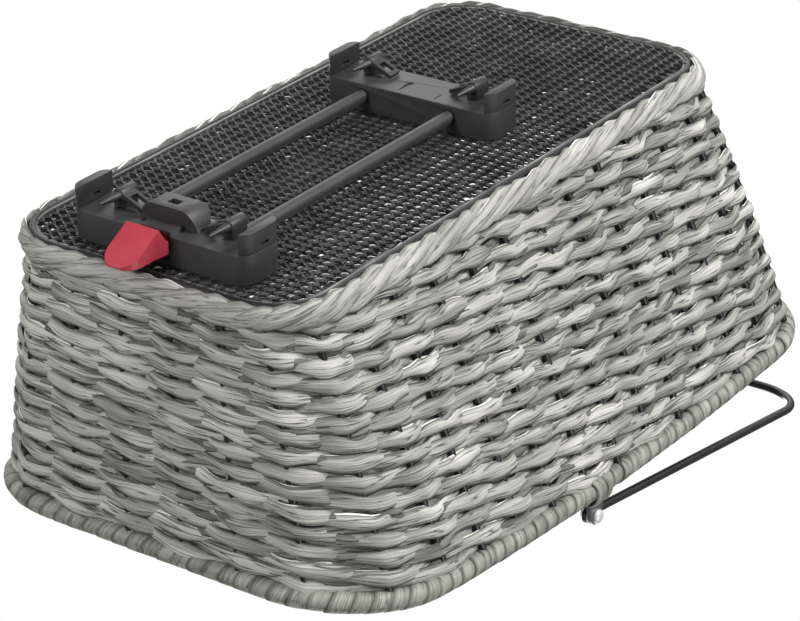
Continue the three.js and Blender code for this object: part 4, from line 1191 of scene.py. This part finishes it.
@dataclass
class MeshFloor:
    """The floor of expanded metal: slit sheet pulled into diamonds.

    Attributes:
        lean, bow: how far a strand is twisted and bowed.
        gap, overhang: room round the sheet, and the share of a cell that has to fit.
    """

    wall: Wall
    cell_length: float = 6.1
    cell_width: float = 8.0
    strand: float = 1.35
    thickness: float = 1.2
    lift: float = 1.3
    lean: float = 0.6
    bow: float = 0.4
    gap: float = 0.4
    overhang: float = 0.3
    sag: float = 0.25
    sag_x: float = 37.0
    sag_y: float = 23.0
    jitter: float = 0.06
    turn_jitter: float = 0.03
    size_jitter: float = 0.03
    edge_width: float = 1.3
    edge_thickness: float = 1.2
    edge_inset: float = 1.9
    edge_pattern: float = 0.03
    seed: int = 19

    def diamond(self) -> Piece:
        """One diamond of four strands, twisted as in slit sheet, two of them bowed."""
        half_x, half_y = self.cell_length / 2, self.cell_width / 2
        corners = [(half_x, 0.0), (0.0, half_y), (-half_x, 0.0), (0.0, -half_y)]
        points, faces = [], []
        for number, (start, end) in enumerate(zip(corners, corners[1:] + corners[:1])):
            heading = np.array(end) - np.array(start)
            normal = np.array([-heading[1], heading[0]]) / np.linalg.norm(heading)
            if number % 2:
                lean, shares, width = self.lean, (0.0, 0.5, 1.0), self.strand
            else:
                lean, shares, width = -0.5 * self.lean, (0.0, 1.0), 0.8 * self.strand
            first = len(points)
            for share in shares:
                arch = self.bow if 0 < share < 1 else 0.0
                for side, rise in ((-0.5, -0.5), (0.5, -0.5), (0.5, 0.5), (-0.5, 0.5)):
                    flat = np.array(start) + heading * share + normal * (side * width + arch)
                    points.append((*flat, (rise + side * lean) * self.thickness - arch))
            last = len(points) - 4
            for a in range(first, last, 4):
                for i, j in ((0, 1), (1, 2), (2, 3), (3, 0)):
                    faces.append((a + i, a + j, a + 4 + j, a + 4 + i))
            faces += [range(first + 3, first - 1, -1), range(last, last + 4)]
        shape = piece_from("mesh_link", np.array(points), faces)
        outward_normals(shape)
        shape.data.shade_flat()
        return shape

    def build(self, repeats: RepeatTree, finishes: Finishes) -> None:
        """Lays the diamonds inside the floor wire, and the rolled edge round them."""
        base = self.wall.base
        front, half_width = base.front - self.gap, base.half_width - self.gap
        corner = base.corner - self.gap
        columns = int(front / self.cell_length) + 2
        lines = int(half_width / self.cell_width) + 2
        rng = np.random.default_rng(self.seed)
        points = []
        for i in range(-columns, columns + 1):
            for j in range(-lines, lines + 1):
                x, y = i * self.cell_length, j * self.cell_width
                over_x = abs(x) + self.cell_length * self.overhang - (front - corner)
                over_y = abs(y) + self.cell_width * self.overhang - (half_width - corner)
                if math.hypot(max(over_x, 0.0), max(over_y, 0.0)) < corner:
                    wave = self.sag * math.sin(x / self.sag_x + y / self.sag_y)
                    z = self.lift + (wave + rng.uniform(-self.jitter, self.jitter))
                    points.append((x + self.wall.shift, y, self.wall.floor_z + z))
        turns = rng.uniform(-self.turn_jitter, self.turn_jitter, size=(len(points), 3))
        piece = repeats.make("expanded_mesh", np.array(points), turns, self.diamond(),
                             self.size_jitter, self.seed, finishes.mesh)
        settle(piece, Slot.MESH, None, ["base_panel"])
        self.rolled_edge(finishes)

    def rolled_edge(self, finishes: Finishes, count: int = 360) -> None:
        """Lays the flat band that the sheet is rolled into where it meets the floor wire, in a
        light grey that is a painted highlight.

        Args:
            finishes: all finishes.
            count: points round it.
        """
        ahead = self.wall.heading(np.linspace(0, ROUND, count, endpoint=False), 0.0, 0.02)
        inward = unit(np.stack([-ahead[:, 1], ahead[:, 0], np.zeros(count)], axis=1))
        half, near = self.edge_thickness / 2, self.edge_inset
        far = near + self.edge_width
        section = np.array([(near, -half, 0.05), (far, -half, 0.4), (far, half, 0.6),
                            (near, half, 0.95)])
        points = swept(self.wall.ring(0.0, count), inward, UP[None, :], section[:, 0],
                       section[:, 1] + self.lift)
        u = np.arange(count + 1) * self.edge_pattern
        piece = joined("mesh_rolled_edge", [strip(points, section, u)])
        outward_normals(piece)
        smooth_by_angle(piece, DRAWN_EDGE)
        settle(piece, Slot.MESH, finishes.highlighted_edge)


# The handle
@dataclass
class Handle:
    """The swinging bail with its eyes, rivets, washers, tabs and cane bindings.

    Attributes:
        x: the pivots' place along the basket, from the floor's middle.
        rest_angle: how far the bail lies above the level at rest, in degrees.
        play: room round the rivet and beside the eye.
        binding_bulge, binding_slant: how far the turns rise over the tab and lean.
    """

    wall: Wall
    x: float = -12.0
    above_rim: float = 19.2
    bail_y: float = 139.7
    wire_radius: float = 2.75
    reach: float = 294.0
    corner: float = 34.0
    rest_angle: float = 10.2
    eye_radius: float = 6.0
    eye_thickness: float = 3.0
    eye_edge: float = 0.8
    play: float = 0.3
    rivet_radius: float = 2.5
    head_radius: float = 4.6
    head_height: float = 3.0
    head_rim: float = 0.7
    foot_radius: float = 4.1
    foot_height: float = 1.6
    foot_edge: float = 0.8
    tab_outer: float = 146.0
    binding_points: int = 40
    binding_radius: float = 7.25
    binding_pitch: float = 5.7
    binding_width: float = 6.2
    binding_thickness: float = 1.5
    binding_bulge: float = 2.3
    binding_slant: float = 0.9
    binding_squash: float = 0.93
    binding_pattern: float = 0.011

    def pivot(self) -> Array:
        """The middle of the swing axis."""
        z = float(self.wall.rim_height(np.array(self.x))) + self.above_rim
        return np.array([self.x + self.wall.shift, 0.0, z])

    def route(self) -> Array:
        """The bail's line from one eye to the other, at rest."""
        far, corner, y = -self.reach, self.corner, self.bail_y
        bend = np.linspace(math.pi / 2, math.pi, 14)
        left = np.stack([far + corner + corner * np.cos(bend), y - corner + corner * np.sin(bend)],
                        axis=1)
        start = np.array([[-self.eye_radius + 1.5, y]])
        flat = np.vstack([start, left, (left * [1, -1])[::-1], start * [1, -1]])
        angle = math.radians(self.rest_angle)
        return self.pivot() + np.stack(
            [flat[:, 0] * math.cos(angle), flat[:, 1], -flat[:, 0] * math.sin(angle)], axis=1)

    def eye_profile(self) -> list[tuple[float, float]]:
        """The profile of the bail's eyes."""
        bore, outer, half = self.rivet_radius + self.play, self.eye_radius, self.eye_thickness / 2
        edge = self.eye_edge
        return [(bore, -half), (outer - edge, -half), (outer, -half + edge), (outer, half - edge),
                (outer - edge, half), (bore, half), (bore, -half)]

    def rivet_profile(self) -> list[tuple[float, float]]:
        """The profile of a rivet: a foot inside the eye, a shank, and a domed head outside."""
        inside = self.bail_y - self.eye_thickness / 2 - self.play
        shell, head, rim = self.tab_outer + self.play, self.head_radius, self.head_rim
        dome = [(head * math.cos(a), shell + rim + (self.head_height - rim) * math.sin(a))
                for a in np.linspace(0, math.pi / 2, 7)][:-1]
        foot, sole, edge = self.foot_radius, inside - self.foot_height, self.foot_edge
        return [(0, sole), (foot - edge, sole), (foot - 0.1, sole + edge - 0.1), (foot, inside),
                (self.rivet_radius, inside), (self.rivet_radius, shell), (head, shell), *dome,
                (0, shell + self.head_height)]

    def build(self, tubes: TubeTree, finishes: Finishes) -> None:
        """Makes the handle's pieces."""
        bail = tubes.make("bail_wire", [self.route()], self.wire_radius, 20, finishes.wire)
        settle(bail, Slot.WIRE, None, ["handle_bail"], Body.HANDLE)
        pivot = self.pivot()
        for name, side in SIDES.items():
            centre = pivot + [0, side * self.bail_y, 0]
            eye = turned(f"bail_eye_{name}", centre, self.eye_profile(), side)
            settle(eye, Slot.WIRE, finishes.wire, body=Body.HANDLE)
            rivet = turned(f"rivet_{name}", pivot, self.rivet_profile(), side)
            settle(rivet, Slot.ZINC, finishes.zinc, [f"handle_rivet_{name}"])
            tab = bevelled(f"handle_tab_{name}", 0.5)
            settle(tab, Slot.TAB, finishes.tab, [f"handle_tab_{name}"])
            self.binding(name, side, finishes)

    def binding(self, name: str, side: int, finishes: Finishes) -> None:
        """Makes the folded cane that holds a tab to the rim, as three close turns.

        Args:
            name: left or right.
            side: 1 or -1.
            finishes: all finishes.
        """
        centre = self.pivot() + [0, side * self.wall.rim.half_width, -self.above_rim]
        count, slope = self.binding_points, self.wall.rim_slope(self.x)
        around = np.linspace(0, TURN, count, endpoint=False)
        cos, sin = np.cos(around), np.sin(around)
        bulge = self.binding_bulge * np.clip(sin, 0, 1) ** 3 * (sin > 0.2)
        radius = self.binding_radius + bulge
        normal = np.stack([np.zeros(count), cos, sin], axis=1)
        strips = []
        for turn in (-1, 0, 1):
            shift = turn * self.binding_pitch
            lean = self.binding_slant * cos * abs(turn)
            line = centre + np.stack([shift + lean, radius * cos * self.binding_squash,
                                      radius * sin - slope * shift], axis=1)
            points = swept(line, np.array([[1.0, 0.0, 0.0]]), normal,
                           WILLOW[:, 0] * self.binding_width, WILLOW[:, 1] * self.binding_thickness)
            u = np.arange(count + 1) * self.binding_pattern
            strips.append(strip(points, WILLOW, u, turn + 5))
        piece = joined(f"tab_binding_{name}", strips)
        outward_normals(piece)
        settle(piece, Slot.CANE, finishes.cane, [f"rim_binding_{name}"])


# The rack adapter
def box_of(node: str) -> tuple[Vector, Vector]:
    """The low and high corners of a frame node."""
    low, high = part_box(node)
    return Vector(low) / MM, Vector(high) / MM


@dataclass
class Adapter:
    """Bars, rods, lugs, hooks, screws, and the release lever with its spring."""

    wall: Wall
    rod_radius: float = 4.1
    rod_y: float = 31.2
    rod_z: float = 19.5
    screw_radius: float = 2.5
    screw_head: float = 4.6
    seat_depth: float = 2.8
    socket_radius: float = 1.9
    socket_depth: float = 1.5
    spring_ends: float = 0.1
    edge: float = 0.9
    spring_wire: float = 0.45
    spring_turns: int = 5
    spring_travel: float = 2.6

    def build(self, tubes: TubeTree, finishes: Finishes) -> None:
        """Makes the adapter's pieces."""
        for bar in ("front", "rear"):
            for node, *edge in ((f"{bar}_bar", self.edge, 3, 34), (f"backing_plate_{bar}", 0.6)):
                settle(bevelled(node, *edge), Slot.PLASTIC, finishes.plastic, [node])
            for side in SIDES:
                for kind, width in (("end_lug", 1.0), ("rack_hook", 0.6)):
                    node = f"{kind}_{bar}_{side}"
                    piece = bevelled(node, width, angle=34)
                    settle(piece, Slot.PLASTIC, finishes.plastic, [node])
                self.screw(f"bar_screw_{bar}_{side}", finishes)
        for side, sign in SIDES.items():
            node = f"bar_rod_{side}"
            line = np.array([(end.x, sign * self.rod_y, self.rod_z) for end in box_of(node)])
            rod = tubes.make(f"rod_{side}", [line], self.rod_radius, 28, finishes.plastic)
            smooth_by_angle(rod, DRAWN_EDGE)
            settle(rod, Slot.PLASTIC, None, [node])
        lever = bevelled("release_lever", 1.0, 3, 26)
        settle(lever, Slot.RED, finishes.red, ["release_lever"], Body.LEVER)
        self.spring(tubes, finishes)

    def spring(self, tubes: TubeTree, finishes: Finishes) -> None:
        """Makes the lever's return spring as a fixed coil; on the real adapter the lever squeezes
        it against the bar's roof.

        Args:
            tubes: the tree that makes wires.
            finishes: all finishes.
        """
        low, high = box_of("lever_spring")
        middle, size, wire = (low + high) / 2, high - low, self.spring_wire
        share = np.linspace(0, 1, 24 * self.spring_turns + 1)
        angle = TURN * self.spring_turns * share
        ends = self.spring_ends
        rise = np.clip((share - ends) / (1 - 2 * ends), 0, 1) * (size.z - 2 * wire)
        radius = size.x / 2 - wire
        path = np.stack([middle.x + radius * np.cos(angle), middle.y + radius * np.sin(angle),
                         low.z + wire + rise], axis=1)
        coil = tubes.make("lever_spring_coil", [path], wire, 8, finishes.zinc)
        settle(coil, Slot.ZINC, None, ["lever_spring"])
        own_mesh(coil)

    def screw(self, node: str, finishes: Finishes) -> None:
        """Makes a pan-head screw with a round socket.

        Args:
            node: the frame node that it replaces.
            finishes: all finishes.
        """
        low, high = box_of(node)
        seat, head, depth = high.z - self.seat_depth, self.screw_head, self.socket_depth
        profile = [(0, low.z), (self.screw_radius, low.z), (self.screw_radius, seat), (head, seat),
                   (head, seat + 1.4), (head * 0.85, seat + 2.3), (head * 0.6, high.z),
                   (self.socket_radius, high.z), (self.socket_radius - 0.2, high.z - depth),
                   (0, high.z - depth - 0.1)]
        centre = ((low.x + high.x) / 2, (low.y + high.y) / 2, 0.0)
        screw = turned(f"{node}_finished", centre, profile, facets=24)
        settle(screw, Slot.ZINC, finishes.zinc, [node])


def paint_left_over_nodes(nodes: dict[str, Piece], finishes: Finishes) -> None:
    """Gives the frame nodes that stay in sight their finish.

    Args:
        nodes: the frame's nodes.
        finishes: all finishes.
    """
    for name, node in nodes.items():
        if node.hide_render:
            continue
        node.data.materials.clear()
        node.data.materials.append(finishes.zinc)
        LOG.info("%s keeps its mesh", name)


# Camera, stage and light
@dataclass(frozen=True)
class PhotoCamera:
    """The camera that the photograph was taken with. It looks up at the basket from below.

    Attributes:
        focal_length: in pixels of the photograph.
        yaw, pitch, roll: in degrees, in a frame that stands upside down as the basket did.
        position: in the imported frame, with X from the floor's middle.
    """

    focal_length: float = 2784.19
    image_width: float = 800.0
    sensor: float = 36.0
    yaw: float = 125.420
    pitch: float = 26.420
    roll: float = -0.980
    position: tuple[float, float, float] = (1230.79, -887.34, -609.23)

    def build(self, shift: float) -> None:
        """Places the camera.

        Args:
            shift: X of the floor's middle.
        """
        yaw, pitch, roll = (math.radians(a) for a in (self.yaw, self.pitch, self.roll))
        back = Vector((math.sin(yaw) * math.cos(pitch), -math.cos(yaw) * math.cos(pitch),
                       math.sin(pitch)))
        right = Vector((math.cos(yaw), math.sin(yaw), 0.0))
        down = (-back).cross(right)
        level_right = right * math.cos(roll) - down * math.sin(roll)
        level_down = right * math.sin(roll) + down * math.cos(roll)
        upright = Matrix(((1, 0, 0), (0, -1, 0), (0, 0, -1)))
        turn = Matrix([upright @ v for v in (level_right, -level_down, back)]).transposed()
        data = bpy.data.cameras.new("photo_camera")
        data.sensor_width = self.sensor
        data.lens = self.focal_length * self.sensor / self.image_width
        data.clip_start, data.clip_end = 0.05, 50.0
        camera = placed("photo_camera", data)
        x, y, z = self.position
        camera.matrix_world = Matrix.Translation(Vector((x + shift, y, z)) * MM) @ turn.to_4x4()
        bpy.context.scene.camera = camera


@dataclass(frozen=True)
class Lamp:
    """A soft square lamp: where it stands and its side, in metres, and its power in watts."""

    name: str
    place: tuple[float, float, float]
    size: float
    power: float

    def build(self, target: Vector) -> None:
        """Places the lamp so that it points at the target."""
        data = bpy.data.lights.new(self.name, "AREA")
        data.shape = "SQUARE"
        data.size = self.size
        data.energy = self.power
        lamp = placed(self.name, data)
        lamp.location = self.place
        lamp.rotation_euler = (target - lamp.location).to_track_quat("-Z", "Y").to_euler()


@dataclass(frozen=True)
class StageFinish:
    """A stage surface that only shows its front and lets the lamps' light through.

    Attributes:
        glow: the light that it gives to the camera only.
        camera_only: whether nothing but the camera sees it.
    """

    name: str
    grey: float
    roughness: float
    glow: float = 0.0
    camera_only: bool = False

    def show(self, piece: Piece) -> None:
        """Dresses a piece in it and gives the piece to the stage."""
        shader = Shader(self.name)
        ray = shader.add("ShaderNodeLightPath")
        camera, hidden = ray["Is Camera Ray"], ray["Is Shadow Ray"]
        if self.camera_only:
            hidden = shader.maths("SUBTRACT", 1.0, camera)
        back = shader.add("ShaderNodeNewGeometry")["Backfacing"]
        clear = shader.add("ShaderNodeBsdfTransparent")["BSDF"]
        shader.feed(shader.surface, {
            "Base Color": (self.grey, self.grey, self.grey, 1.0), "Roughness": self.roughness,
            "Emission Strength": shader.maths("MULTIPLY", camera, self.glow),
            "Emission Color": WHITE})
        mix = shader.add("ShaderNodeMixShader", {
            0: shader.maths("MAXIMUM", back, hidden), 1: shader.surface.outputs["BSDF"], 2: clear})
        shader.feed(shader.tree.nodes["Material Output"], {"Surface": mix["Shader"]})
        piece.data.materials.append(shader.material)


@dataclass(frozen=True)
class Studio:
    """A white studio whose floor is seen from above only, because the photograph looks up."""

    floor_size: float = 12.0
    floor_drop: float = 0.0006
    ground_height: float = 0.99
    ground_points: int = 72
    sky: float = 0.20
    target: tuple[float, float, float] = (0.0, 0.0, 0.12)
    lamps: tuple[Lamp, ...] = (
        Lamp("key_below", (-0.55, -1.65, -1.8), 0.8, 89.0),
        Lamp("front_below", (1.9, 0.3, -0.9), 0.7, 27.0),
        Lamp("far_below", (-1.8, 1.3, -1.0), 1.3, 36.0),
        Lamp("straight_below", (-0.3, 0.2, -2.3), 1.0, 22.0),
        Lamp("overhead", (-0.3, 0.2, 2.3), 1.6, 24.0),
        Lamp("rear_side", (-1.4, 1.6, 1.1), 1.2, 26.0),
        Lamp("near_side", (0.2, -2.0, 1.0), 1.2, 14.0),
    )

    def build(self, wall: Wall) -> None:
        """Makes the lamps, the floor, the ground under the upturned rim as painted shadow, and the
        sky.

        Args:
            wall: the wall whose rim stands on the shaded ground.
        """
        for lamp in self.lamps:
            lamp.build(Vector(self.target))
        half, z = self.floor_size / 2 / MM, -self.floor_drop / MM
        corners = [(-half, -half, z), (half, -half, z), (half, half, z), (-half, half, z)]
        floor = piece_from("studio_floor", corners, [range(4)])
        StageFinish("studio_floor", 0.86, 0.8, glow=0.32).show(floor)
        # Painted shadow: a near-black sheet inside the rim that only camera rays see, from one
        # side, so it blocks no light
        count = self.ground_points
        ring = wall.ring(self.ground_height, count)
        ground = piece_from("shaded_ground", np.vstack([ring, ring.mean(axis=0)]),
                            [(count, (k + 1) % count, k) for k in range(count)])
        StageFinish("shaded_ground", 0.012, 0.9, camera_only=True).show(ground)
        self.world()

    def world(self) -> None:
        """Makes a plain sky that is white to the camera."""
        world = bpy.data.worlds.new("studio")
        world.use_nodes = True
        nodes = Nodes(world.node_tree)
        ray = nodes.add("ShaderNodeLightPath")
        seen = nodes.maths("MAXIMUM", ray["Is Camera Ray"], ray["Is Transmission Ray"])
        nodes.feed(nodes.tree.nodes["Background"],
                   {"Strength": nodes.vary(seen, self.sky, 1.0), "Color": WHITE})
        bpy.context.scene.world = world


def main() -> None:
    """Builds the whole scene."""
    logging.basicConfig(level=logging.INFO, format="%(name)s: %(message)s")
    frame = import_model()
    bpy.context.scene.view_settings.view_transform = "Standard"
    bar_front = 207.0
    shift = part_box("front_bar")[1].x / MM - bar_front
    wall = Wall(shift)
    PhotoCamera().build(shift)
    Studio().build(wall)
    finishes, tubes, repeats = Finishes(), TubeTree(), RepeatTree()
    for part in (Weave(wall), BaseBorder(wall), RimWrap(wall)):
        part.build(finishes)
    WireFrame(wall).build(tubes, finishes)
    MeshFloor(wall).build(repeats, finishes)
    Handle(wall).build(tubes, finishes)
    Adapter(wall).build(tubes, finishes)
    paint_left_over_nodes(frame["nodes"], finishes)


if __name__ == "__main__":
    main()
